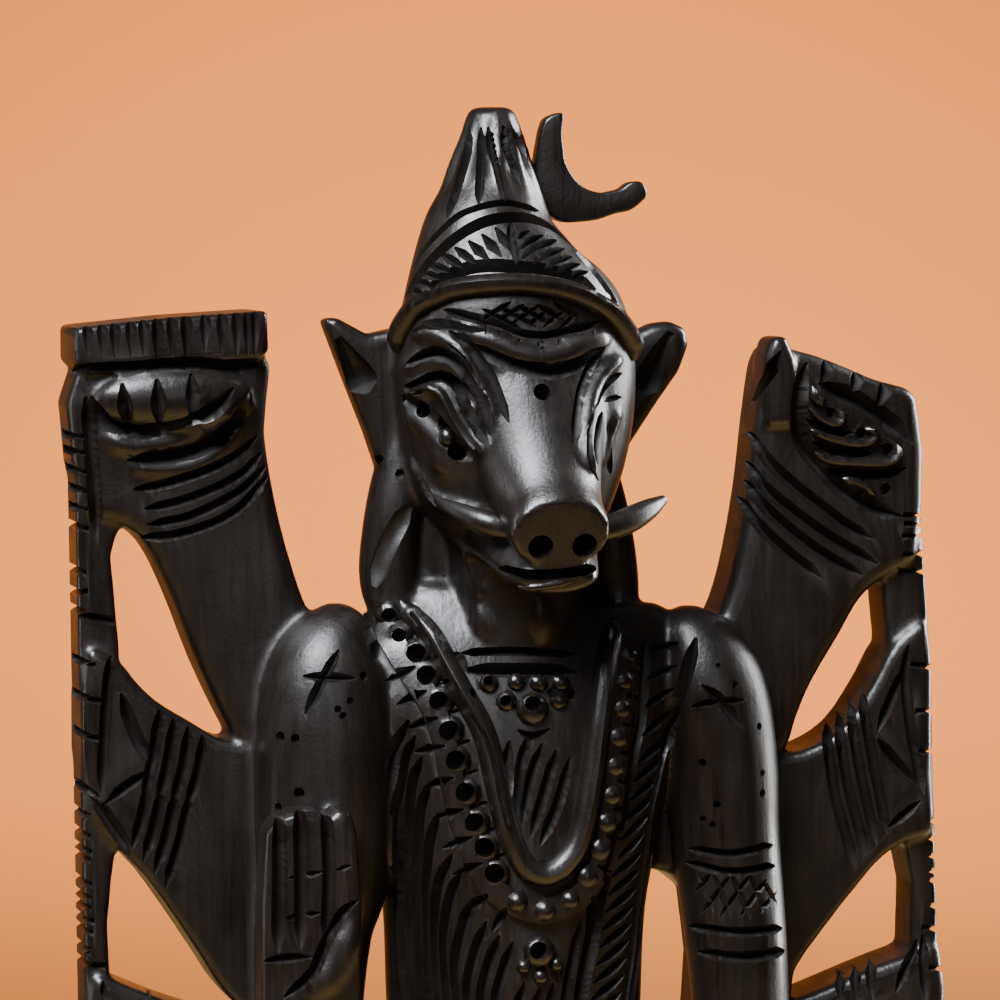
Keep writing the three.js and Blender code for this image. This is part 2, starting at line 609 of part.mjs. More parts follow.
const forms = [
  loft(SKIRT, 36),
  loft(SKIRT_PANEL, 12),
  loft(BELT, 22),
  loft(TORSO, 18),
  loft(NECK, 14),
  loft(HEAD, 18),
  loft(FACE, 14),
  loft(JAW, 12),
  loft(HAIR_BEHIND, 14),
  loft(HAIR_LEFT, 8),
  loft(HAIR_RIGHT, 8),
  loft(RAISED_UPPER_ARM, 12),
  loft(RAISED_FOREARM, 12),
  loft(HANGING_ARM, 12),
  loft(FOOT, 10),
  loft(mirrored(FOOT), 10),
  loft(LOTUS_BASE, 32),
  board(RAISED_HAND, -16.4, 7.2, 1.2),
  board(HANGING_HAND, -7.6, 7, 1.4),
  board(LEFT_EAR, 1.5, 6, 1.2),
  board(RIGHT_EAR, 1.5, 6, 1.2),
  board(CAP, BACK_ARM_MIDDLE, CAP_DEPTH, 0.8, 1.2),
  board(RIGHT_THUMB, 2.8, 8.3, 0.9),
  board(LEFT_STAVE, BACK_ARM_MIDDLE, STAVE_DEPTH, 0.7, 1.2),
  board(RIGHT_STAVE, BACK_ARM_MIDDLE, STAVE_DEPTH, 0.7, 1.2),
  ...[...LEFT_ARMS, ...RIGHT_ARMS].map((arm) => board(arm, BACK_ARM_MIDDLE, BACK_ARM_DEPTH, 2.6, 3)),
  egg(...FIST),
];
const carcass = forms.reduce((whole, form) => whole.add(form));
const bare = surfaceOf(carcass);
const ornaments = [
  ...CORDS.map((line) => cord(bare, line)),
  ...PENDANTS.map((bead) => egg(...bead)),
];
const dressed = ornaments.reduce((whole, ornament) => whole.add(ornament), carcass);

const surface = surfaceOf(dressed);
const cuts = [
  crescent(PEG_GAP),
  loft(thicker(RIGHT_TUSK, PEG_GAP), TUSK_SIDES),
  loft(thicker(LEFT_TUSK, PEG_GAP), TUSK_SIDES),
  ...STROKES.flatMap((group) => strokes(surface, group)),
  ...NOTCHES.flatMap(notches),
  ...HOLES.map((hole) => drill(surface, hole)),
  ...capCuts(),
];
const carved = cuts.reduce((whole, cut) => whole.subtract(cut), dressed);

const nodes = {
  idol: carved,
  crescent: crescent(0),
  tusk_right: loft(RIGHT_TUSK, TUSK_SIDES),
  tusk_left: loft(LEFT_TUSK, TUSK_SIDES),
};

const part = new THREE.Group();
for (const [name, solid] of Object.entries(nodes)) {
  const mesh = new THREE.Mesh(geometryOf(solid), wood);
  mesh.name = name;
  part.add(mesh);
}

export default part;
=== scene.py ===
import json
import math

import bmesh
import bpy
from mathutils import Matrix, Vector
from mathutils.bvhtree import BVHTree

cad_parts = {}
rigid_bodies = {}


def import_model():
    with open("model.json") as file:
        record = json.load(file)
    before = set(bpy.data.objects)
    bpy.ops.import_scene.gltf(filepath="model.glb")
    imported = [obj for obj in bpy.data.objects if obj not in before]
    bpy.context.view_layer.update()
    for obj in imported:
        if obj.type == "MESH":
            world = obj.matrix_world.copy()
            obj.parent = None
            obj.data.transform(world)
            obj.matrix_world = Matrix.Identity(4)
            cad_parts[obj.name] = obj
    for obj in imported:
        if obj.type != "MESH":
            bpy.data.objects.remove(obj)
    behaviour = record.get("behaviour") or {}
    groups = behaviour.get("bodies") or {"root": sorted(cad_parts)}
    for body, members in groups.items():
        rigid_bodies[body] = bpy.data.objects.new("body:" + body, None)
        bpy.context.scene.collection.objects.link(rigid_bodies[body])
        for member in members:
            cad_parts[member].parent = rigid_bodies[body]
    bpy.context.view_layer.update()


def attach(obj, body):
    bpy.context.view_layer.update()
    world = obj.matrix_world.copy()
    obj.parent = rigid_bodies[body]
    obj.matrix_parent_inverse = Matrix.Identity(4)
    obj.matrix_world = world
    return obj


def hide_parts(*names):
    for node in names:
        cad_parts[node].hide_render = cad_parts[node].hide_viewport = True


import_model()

# A hand-carved ebony figure of the boar-headed goddess. All tables are in millimetres, +Z up, and the
# figure looks along -Y. Forms are worked in millimetres and turned to metres when they are finished.
MM = 0.001

# Where the viewer stands: the carver's lines below are laid out as they are seen from here
TARGET = Vector((-1.7, 0, 263.2))
DISTANCE = 700
AZIMUTH, ELEVATION, ROLL = (math.radians(a) for a in (-14, 4, -1))
BACKWARD = Vector((
    math.sin(AZIMUTH) * math.cos(ELEVATION),
    -math.cos(AZIMUTH) * math.cos(ELEVATION),
    math.sin(ELEVATION),
))
EYE = TARGET + DISTANCE * BACKWARD
SENSOR = 36
WIDTH_IN_VIEW = 145  # of what the picture shows at the target

# Stations: (x, y, z, half width, half depth, flute depth) of a section, from one end of a form to the next
SKIRT = [
    (0, -2, 22, 28.5, 20, 1.7), (0, -2, 31, 27.5, 19.2, 1.6), (0, -1.5, 44, 25.5, 17.6, 1.4),
    (0, -1, 66, 24, 16.4, 1.3), (0, -0.5, 92, 24.2, 16.4, 1.2), (0, 0, 120, 25.4, 17, 1.1),
    (0, 0.5, 144, 24.6, 16.6, 0.9), (0, 1, 160, 21, 15, 0.4),
]
SKIRT_PANEL = [
    (0, -15.6, 157, 4.4, 2.4, 0.4), (0, -17, 120, 5.6, 2.6, 0.8), (0, -16.6, 84, 6.6, 2.7, 0.9),
    (0, -18, 48, 8.2, 2.8, 1), (0, -20.8, 25.4, 9.6, 3, 1.1),
]
BELT = [
    (0, 1, 153.4, 22.4, 15.8), (0, 1, 155.4, 23.8, 17.2), (0, 1, 160, 22.8, 16.4),
    (0, 1, 161.8, 20.2, 14.6),
]
TORSO = [
    (0, 1, 150, 20, 14), (0, 1, 161, 20.2, 14.4), (-0.5, 1, 174, 18, 13), (-0.8, 0.5, 190, 18.9, 13.5),
    (-0.5, 0.5, 204, 19.5, 14), (0, 0.5, 216, 21.5, 14.5), (0, 0.5, 227, 24, 14),
    (-0.5, 1, 236, 26.5, 12.8), (-1.2, 1.5, 243, 25.5, 10.5), (-1.5, 2, 247, 19.6, 8.5),
    (-1, 2, 249.4, 10.6, 7),
]
NECK = [
    (0, 0, 238, 13, 10), (0, -1, 246, 10.5, 9.5), (0, -2, 255, 9.8, 9.5), (0, -3, 266, 12, 11),
]
HEAD = [
    (0, -5, 254.5, 5.5, 5), (0, -6, 259, 11.5, 9.5), (-0.2, -5.5, 265, 14.6, 12),
    (-0.3, -5, 272, 16.6, 13.5), (-0.3, -5, 280, 17.5, 13.6), (-0.6, -4.5, 286, 17.4, 13.9),
    (-1.8, -3.8, 291.5, 15.9, 13.2), (-2.7, -2.8, 296.5, 12.9, 11.6), (-3, -1.6, 302, 10.1, 9.4),
    (-2.4, -0.6, 307, 8, 7.3, 0.3), (-2.2, -0.1, 311, 6.6, 6.2, 0.9), (-1.9, 0.4, 315, 5.1, 4.9, 0.8),
    (-1.8, 1, 319.2, 3.5, 3.4, 0.4), (-1.8, 1, 320, 2.4, 2.3),
]
FACE = [
    (0, -6, 290, 13, 8), (0, -9, 284, 12.5, 8.5), (0, -11.5, 278, 11.5, 8.8), (0, -14.5, 272, 10, 8.6),
    (0, -18.5, 267, 8.4, 7.6), (0, -23, 263, 7.3, 6.4), (0, -26.6, 260.8, 7.3, 5.7),
    (0, -28.4, 260.2, 6.9, 5.1),
]
JAW = [
    (0, -7, 261, 11.5, 6.5), (0, -14, 258, 9, 5), (0, -20, 255.6, 7.4, 3.8), (0, -25, 254, 6.2, 2.6),
    (0, -26.6, 253.6, 5, 1.9),
]
HAIR_BEHIND = [
    (0, 4, 282, 11, 7), (0, 7, 272, 13, 8), (0, 8, 258, 14.5, 7), (0, 8, 246, 14.5, 6.4),
    (0, 8, 234, 10, 4),
]
HAIR_LEFT = [
    (-14.5, 1, 273, 3.4, 4), (-16.6, 1.5, 266, 3.8, 4.8), (-17.8, 1.5, 258, 4.2, 5),
    (-18.3, 1, 252, 4.2, 4.6), (-17.5, 0.5, 247, 3.4, 3.8), (-16.5, 0, 243, 2.2, 2.6),
]
HAIR_RIGHT = [
    (12.5, 2.5, 270, 3, 4), (14, 2.5, 263, 3.6, 4.8), (14.8, 2, 256, 4, 5), (15.4, 2, 250, 4, 4.6),
    (15.4, 1, 245, 3.4, 3.8), (15, 0.5, 241, 2.2, 2.6),
]
RAISED_UPPER_ARM = [
    (-22.5, 0.5, 244, 4, 5), (-25.6, -0.3, 243, 7, 7.4), (-27.8, -1.2, 238.6, 9.2, 9.2),
    (-28.6, -2, 230, 10, 9.8), (-29, -2.6, 218, 10, 9.4), (-29.6, -3, 209.6, 9.4, 9),
    (-31.2, -3.4, 202.6, 8.4, 8.4), (-32.4, -4, 188, 7.6, 8), (-32.6, -5, 174, 7.4, 7.6),
    (-32.6, -6, 167.5, 6, 6), (-32.6, -6.4, 165, 3.2, 3.2),
]
RAISED_FOREARM = [
    (-32.8, -5.5, 169, 6.8, 6.6), (-33.4, -9.5, 177, 6.8, 6.2), (-34, -13, 186, 6.6, 5),
    (-34.6, -15, 194, 6.8, 4),
]
HANGING_ARM = [
    (22, 0.5, 242, 4, 5), (25.4, -0.3, 240.6, 7, 7.4), (28.4, -1.4, 235, 8.8, 9), (30.4, -2, 225, 8.4, 9),
    (31, -2.5, 212, 7.9, 8.4), (32, -3, 199, 7.5, 8), (32.6, -3.4, 187, 7.1, 7.6), (32.4, -4, 174, 7, 7.2),
    (31.4, -5, 160, 6.6, 6.6), (29.8, -6.6, 145, 5.7, 5.6), (28, -8, 133, 5, 4.6),
    (27.2, -8.4, 127, 5.4, 4),
]
FOOT = [
    (9.5, -12, 26, 7, 4), (9.8, -19, 27, 6.6, 4.4), (10.2, -25, 26, 6.6, 3.4), (10.4, -29, 25, 5.6, 2.2),
]
LOTUS_BASE = [
    (0, 0, 0, 44, 32), (0, 0, 4.5, 44, 32), (0, 0, 6, 40.5, 28.5, 2), (0, 0, 10, 36.5, 25.4, 1.4),
    (0, 0, 14, 37, 26, 1.4), (0, 0, 21, 41.5, 30, 3), (0, 0, 24, 40.5, 29, 2.4),
]
RIGHT_TUSK = [
    (5, -21.6, 259.2, 1.3, 1.3), (8, -21, 260, 1.7, 1.7), (12.2, -19.4, 261.1, 1.9, 1.9),
    (15.8, -17.2, 262.4, 1.5, 1.5), (18.6, -15, 263.5, 0.7, 0.7),
]
LEFT_TUSK = [
    (-5.6, -21, 260.4, 1.4, 1.4), (-8.3, -20, 261.3, 1.8, 1.8), (-10.6, -17.8, 262.3, 1.55, 1.55),
    (-12.6, -15.2, 263.4, 1.1, 1.1), (-14.2, -12.6, 264.4, 0.5, 0.5),
]

# Front outlines of the flat carved parts, as x, z, x, z and so on
LEFT_ARMS = [
    [
        -62.4, 284.8, -36, 286, -35.9, 274.1, -34.5, 263.9, -32, 253.7, -29.4, 247, -25, 242, -12, 236,
        -12, 216, -27, 216, -37.6, 224, -42, 231.6, -46.3, 241, -50.2, 251.6, -53.8, 258.8, -57.6, 261.5,
        -62.4, 263,
    ],
    [
        -62.4, 243.6, -57.8, 241.8, -55.4, 238.8, -52.6, 236, -47.4, 232.6, -42, 229.6, -12, 228, -12, 216,
        -26.5, 210, -27, 184, -38.6, 188.8, -43.7, 193.6, -46.6, 198.2, -50.9, 205, -54.9, 210.9,
        -62.6, 221,
    ],
    [
        -62.8, 196.6, -56.5, 194.6, -51.5, 192.4, -45, 190, -36, 187, -27, 186, -27, 148, -36.4, 143.6,
        -43, 148.5, -51.6, 159, -57.6, 167.6, -62.8, 173,
    ],
]
LEFT_STAVE = [
    -63.3, 281, -63.5, 236, -63.7, 192, -63.9, 148, -63.5, 145, -60, 145, -59.6, 148, -59.4, 174,
    -60.2, 204, -59.4, 211, -57.6, 222, -57.6, 244, -58.5, 257, -57, 262, -56, 280,
]
RIGHT_ARMS = [
    [
        40.2, 283.9, 45.4, 283.3, 50, 281.7, 56.2, 279, 62.6, 276.2, 62.4, 253, 58, 250, 55.2, 248.2,
        53, 246, 50.3, 241.6, 45.7, 234.4, 43.3, 229.2, 42, 225.4, 37.6, 219, 27, 210, 12, 210, 12, 232,
        24.4, 238, 29.6, 242.4, 32.4, 246.8, 34.6, 254.2, 36.6, 264.5, 38.2, 276.3,
    ],
    [
        63.6, 242.6, 63.9, 220, 64, 211.6, 59.9, 210, 56.3, 208, 52.9, 204.6, 46.5, 197.2, 42.3, 191.6,
        41.4, 187.4, 28, 176, 27, 204, 12, 212, 12, 224, 37.6, 223.8, 44.2, 224.4, 50.3, 227.6, 55.2, 234.2,
        58.6, 239.8,
    ],
    [
        65, 194, 65.4, 174, 65, 167, 61, 162.4, 52.4, 155.8, 43, 144.5, 36.4, 140, 28, 142, 27.5, 182,
        35.6, 185.8, 43.6, 187.6, 49, 189.4, 55.4, 191.6, 59.4, 192.8,
    ],
]
RIGHT_THUMB = [
    38.5, 272.6, 38.7, 282.9, 39.8, 285.7, 41.8, 285.9, 43.2, 282.7, 43.7, 278.6, 42.6, 272.6,
]
RIGHT_STAVE = [
    62.6, 271, 63.7, 253, 64.7, 234, 65.1, 200, 65.4, 162, 65.3, 145, 65, 141.5, 62, 141.5, 61.7, 145,
    60.7, 188, 61.2, 203.4, 58.4, 218, 57.5, 228, 57.8, 241, 56.6, 254, 56.6, 270,
]
LEFT_EAR = [
    -27.4, 290, -25.5, 290.3, -23, 288.9, -20.9, 287.7, -14, 289, -12, 270, -15, 265.4, -19.2, 267,
    -21.3, 273.5, -24.5, 282,
]
RIGHT_EAR = [
    18, 286.6, 21.6, 288.2, 24.4, 288.5, 26.6, 287.4, 27.1, 285, 25.6, 281.2, 22, 276.4, 17.8, 270.4,
    15, 266.2, 12, 268, 13, 286,
]
RAISED_HAND = [
    -42, 187, -42, 195.4, -41.8, 209.5, -41, 219.1, -39.4, 221.1, -35.9, 222.1, -33.4, 221.9, -32.2, 220.4,
    -30.9, 222, -28.9, 221.6, -28, 218.7, -27.5, 208.7, -27.8, 194.5, -29, 186, -34, 182.5,
]
HANGING_HAND = [
    23.5, 134, 21.6, 124, 21.4, 116, 22.6, 110.6, 25.2, 107.8, 28.4, 107.6, 31.2, 110, 32.6, 115.5, 33, 124,
    32.4, 134,
]
CAP = [
    -63.4, 289.8, -50, 290.9, -35.7, 291.5, -35.6, 285.6, -37, 284.6, -62, 283.2, -63.5, 284.8,
]
CRESCENT = [
    8.2, 318.9, 6.6, 318.7, 5.4, 317.8, 4.5, 314.4, 3.9, 310.8, 3.9, 308.3, 4.5, 306.3, 5.3, 305,
    6.7, 303.8, 8.2, 303.2, 10.1, 303.2, 13.1, 303.5, 15.7, 304.3, 17.8, 304.7, 19.2, 305.5, 20.6, 307,
    19.8, 308.8, 18.1, 308.8, 16.7, 307.9, 15.4, 307.6, 13.9, 307.4, 12, 307.8, 10.5, 308.7, 9.3, 310.2,
    8.4, 312, 8.2, 313.8, 8, 316.2,
]

# The carver's lines

# They are x, z, x, z and so on too, in the upright plane through the middle of the base. A point stands for
# the spot of the figure that the viewer sees there.

# Soft swellings that the rasp leaves: (line, width, height)
SWELLS = [
    # cord of the neck
    ((-7.1, 256.3, -6.2, 253.8, -5.4, 251.3, -4.9, 248.4), 2.2, 0.9),
    # fold across the forehead
    ((-7, 287.7, -3.2, 286.5, 0.4, 284.9, 4.4, 283.8, 7.6, 284.1, 11.3, 285.4, 15.3, 286.4), 3.4, 1.5),
    # brow and arcs over the eye on the left
    ((-14.1, 287.3, -11.8, 287.6, -9.3, 286.7, -7.2, 284.9, -5.6, 282.4, -4.2, 279.5, -3, 276.9,
      -2.5, 274.1), 2.4, 1.3),
    ((-15.8, 282.6, -13.3, 283.1, -10.8, 283.6, -8.3, 282.6, -6.5, 280.8, -5.1, 278.3, -3.7, 275.5,
      -3.1, 272.7), 2.2, 0.9),
    ((-15.7, 278.8, -13.8, 279.5, -12.1, 280.1, -10.2, 279.9, -8.6, 277.7, -7, 274.9, -5.3, 272,
      -3.8, 270.1), 3, 1.2),
    ((-15.6, 276.5, -14.2, 274.9, -12.4, 273.5, -11.6, 271.2, -10.7, 268.7, -9.3, 267.6), 2.6, 0.9),
    # the same on the right
    ((16.9, 283.4, 15.1, 282.4, 13.4, 280.5, 12.2, 277.9, 11.4, 274.7, 11.1, 271.5, 11.5, 268.7,
      12.5, 266.5), 2.2, 1.4),
    ((16.6, 275.6, 15.4, 273.5, 14.6, 270.7, 13.9, 267.9), 1.5, 0.9),
    # cheek bones
    ((-14.7, 269.5, -13.6, 267.4, -12.2, 264.9, -10.5, 263.2, -8, 262.3, -5.1, 261.3, -2.9, 260.3), 3, 1.2),
    # round the tusk on the left
    ((-3.6, 261.3, -2.4, 260.5, -2.2, 258.9, -3.3, 257.9), 1.8, 0.8),
    # upper left hand: the fold under the fist and the wrist
    ((-59.4, 274.3, -56.5, 272.9, -53, 272.7, -49.4, 273.5, -45.7, 274.8, -42.8, 276.6,
      -40.6, 278.9), 3.2, 1.3),
    ((-56.1, 269.9, -52.1, 269.2, -48.2, 269.4, -44.4, 270.7, -41.2, 273.2, -39.2, 276,
      -38, 279.1), 1.8, 0.7),
    # collar bones and neck sinews
    ((-5.7, 249.1, -4.6, 245.3, -3.5, 242.5), 3.4, 1), ((4.1, 248.7, 4.4, 245.3, 4, 242.2), 3.4, 0.8),
    # thumb side of the raised hand
    ((-24.6, 202.6, -25.9, 198.8, -28.1, 195.1, -31.1, 192.3), 4.2, 1),
]

# Round-bottomed troughs: (line, width, depth)
TROUGHS = [
    # eye hollow and lids on the left
    ((-15.9, 278.4, -13.8, 276.8, -11.7, 274.8, -9.6, 272.3, -7.5, 270.4, -5.6, 269.3), 3.6, 1.7),
    ((-15.5, 283.1, -12.9, 284.4, -10.8, 284.8, -8.6, 284, -6.9, 282.2, -5.5, 279.8, -4.3, 276.9,
      -3.4, 274.1, -3, 271.3), 2.2, 0.8),
    ((-15.7, 280, -14, 279.6, -12.3, 281, -9.8, 281.3, -8, 280.4, -6.6, 278.5, -5.2, 275.9), 2, 1.3),
    # the same on the right
    ((13.9, 275.5, 13.2, 272.9, 12.9, 270.1, 13.1, 267.8), 1.9, 1),
    ((15.2, 270.3, 14.9, 268.4, 15, 266.5), 1.4, 0.7),
    # valley in the hair on the left
    ((-15.1, 262.9, -16.8, 260.1, -18.4, 257.4, -19.8, 254.3, -20.7, 251.3), 3.2, 0.9),
    # open mouth
    ((-2.1, 253.2, 0.9, 252.3, 5.6, 252, 9.7, 252.3, 12.5, 252.9), 1.7, 3.2),
    # under the left ear
    ((-17.1, 267.8, -16, 267.2), 2.6, 1.8), ((-20, 269.9, -18.9, 269.7), 1.8, 1.3),
]

# Troughs that open out from a point: (line, width, depth)
GOUGES = [
    ((-25.3, 287.3, -23.7, 284.6, -22.4, 282.2, -21.1, 279.2), 5, 3.9),
    ((24.5, 286.9, 22.8, 284.1, 21.4, 281.1, 20.3, 277.8), 4.8, 3.8),
]

# The outer garland: drilled bosses down one side, and a chain of round beads up the other
BOSSES = [
    (-18.5, 247.1), (-17.1, 244.2), (-14.6, 241.5), (-13.1, 238.2), (-11.3, 234.3), (-9.9, 230),
    (-9, 225.6), (-7.6, 220.8), (-6.3, 216.3), (-5, 212.6), (-3.5, 208.7),
]
CHAIN = [
    (10.2, 207.6), (12.2, 211.5), (13.2, 215.5), (14, 219.5), (14.6, 223.7), (15.1, 227.9), (15.7, 232),
    (16.2, 236), (16.9, 239.8),
]

# Beads and bosses: (place, radius, height)
BEADS = [
    *((place, 2.3, 1.6) for place in BOSSES), *((place, 2, 1.9) for place in CHAIN[:2]),
    *((place, 1.9, 1.9) for place in CHAIN[2:6]), (CHAIN[6], 1.8, 1.8), (CHAIN[7], 1.8, 1.7),
    (CHAIN[8], 1.7, 1.6),
    # bottom of the garland
    ((-0.3, 204.5), 1.8, 2.4), ((3.7, 203), 1.9, 2.5), ((7.4, 204.4), 1.7, 2.4),
    # choker scallops, pendant and the flower below the garland
    ((-3.9, 236.6), 1.5, 1.2), *((place, 1.4, 1.1) for place in ((0.3, 236.6), (3.6, 236.3), (6.9, 236.2))),
    ((-1.3, 233.9), 1.6, 1.1), ((6.6, 233.7), 1.5, 1.1), ((2.6, 232.5), 2.5, 2), ((3, 196.8), 2.4, 1.7),
    ((0.6, 194.8), 1.1, 1.2), ((3.1, 193.2), 1.2, 1.3), ((5.5, 194.9), 1.1, 1.2),
    # eye on the left
    ((-9.4, 272.5), 1.4, 1.1),
]

# Crisp raised work: (line, width, height)
RIDGES = [
    # upper lid on the left
    ((-14.8, 279, -12.8, 279.9, -10.5, 279.4, -9.5, 278.1, -8.6, 276.2, -7.2, 273.8, -5.7, 271.6,
      -4.1, 270), 1.2, 1),
    # roll of the headdress
    ((-16.4, 285, -16.1, 286.7, -15.4, 288.6, -13.4, 291.2, -10.6, 292.7, -7.7, 293.8, -2.7, 294.3,
      3.1, 294.2, 8.5, 293.2, 12.1, 291.7, 15, 289.8, 17, 287.4, 18.2, 285.2, 18.6, 283), 3.2, 2.2),
    # curled fingers of the upper right hand
    ((45.9, 278.4, 46.2, 276.8, 47.1, 275.9, 47.7, 276.5), 1.7, 1.3),
    ((45.3, 275.2, 46.7, 273.9, 48.8, 272.8, 50.2, 273.1, 50.4, 274.1, 49.7, 274.9), 1.5, 1.3),
    ((45.5, 272, 47.5, 270.9, 49.5, 270.3, 51.5, 269.8, 53.9, 269.7, 55.4, 270.5, 55, 271.7,
      53.8, 271.8), 1.5, 1.3),
    ((46, 268.6, 48.4, 267.3, 51.5, 267, 55.1, 266.7, 57.7, 266.9, 59, 267.9, 59, 269.4), 1.5, 1.3),
    ((50.1, 264.7, 52.2, 264.1, 54, 263.2, 55.3, 262), 1.4, 1),
    # smooth garland
    ((-17, 249.2, -15.6, 247.2, -12.7, 244.3, -10.1, 239.6, -7.7, 235.1, -5.5, 231.2, -4.2, 227.7,
      -3.2, 223, -2.1, 217.6, -0.5, 212.4, 1.4, 209.2, 3.8, 208.1, 6.4, 209.1, 8.8, 212.1, 10.3, 217,
      11.4, 222.7, 12.2, 228.1, 13.1, 234.2, 14, 239.9, 15.3, 245.2), 3.5, 2),
    ((-15.6, 247.4, -12.7, 243.3, -10.2, 238.6, -7.5, 233.8, -4.9, 229.4, -3.6, 225.4, -2.5, 219.6,
      -1.2, 214.5), 1.2, 2.6),
    # lower lip
    ((0.2, 250.6, 2.7, 250.3, 6, 250.6, 8.9, 251), 1.2, 0.6),
]

# Broad beaded garland: its middle line, laid as a flat band
GARLAND = [
    -20.5, 248.2, -17.7, 242.6, -14.5, 237.3, -12.4, 233.8, -10.7, 229.1, -9.7, 223.7, -8.6, 217.9,
    -7.1, 213.3, -5.3, 208.6, -1.8, 204.9, 3.3, 202.9, 8.5, 204.4, 11.9, 208.8, 13.6, 214.9, 14.5, 222.6,
    15.4, 230.2, 16.3, 236.7, 17, 242.1,
]

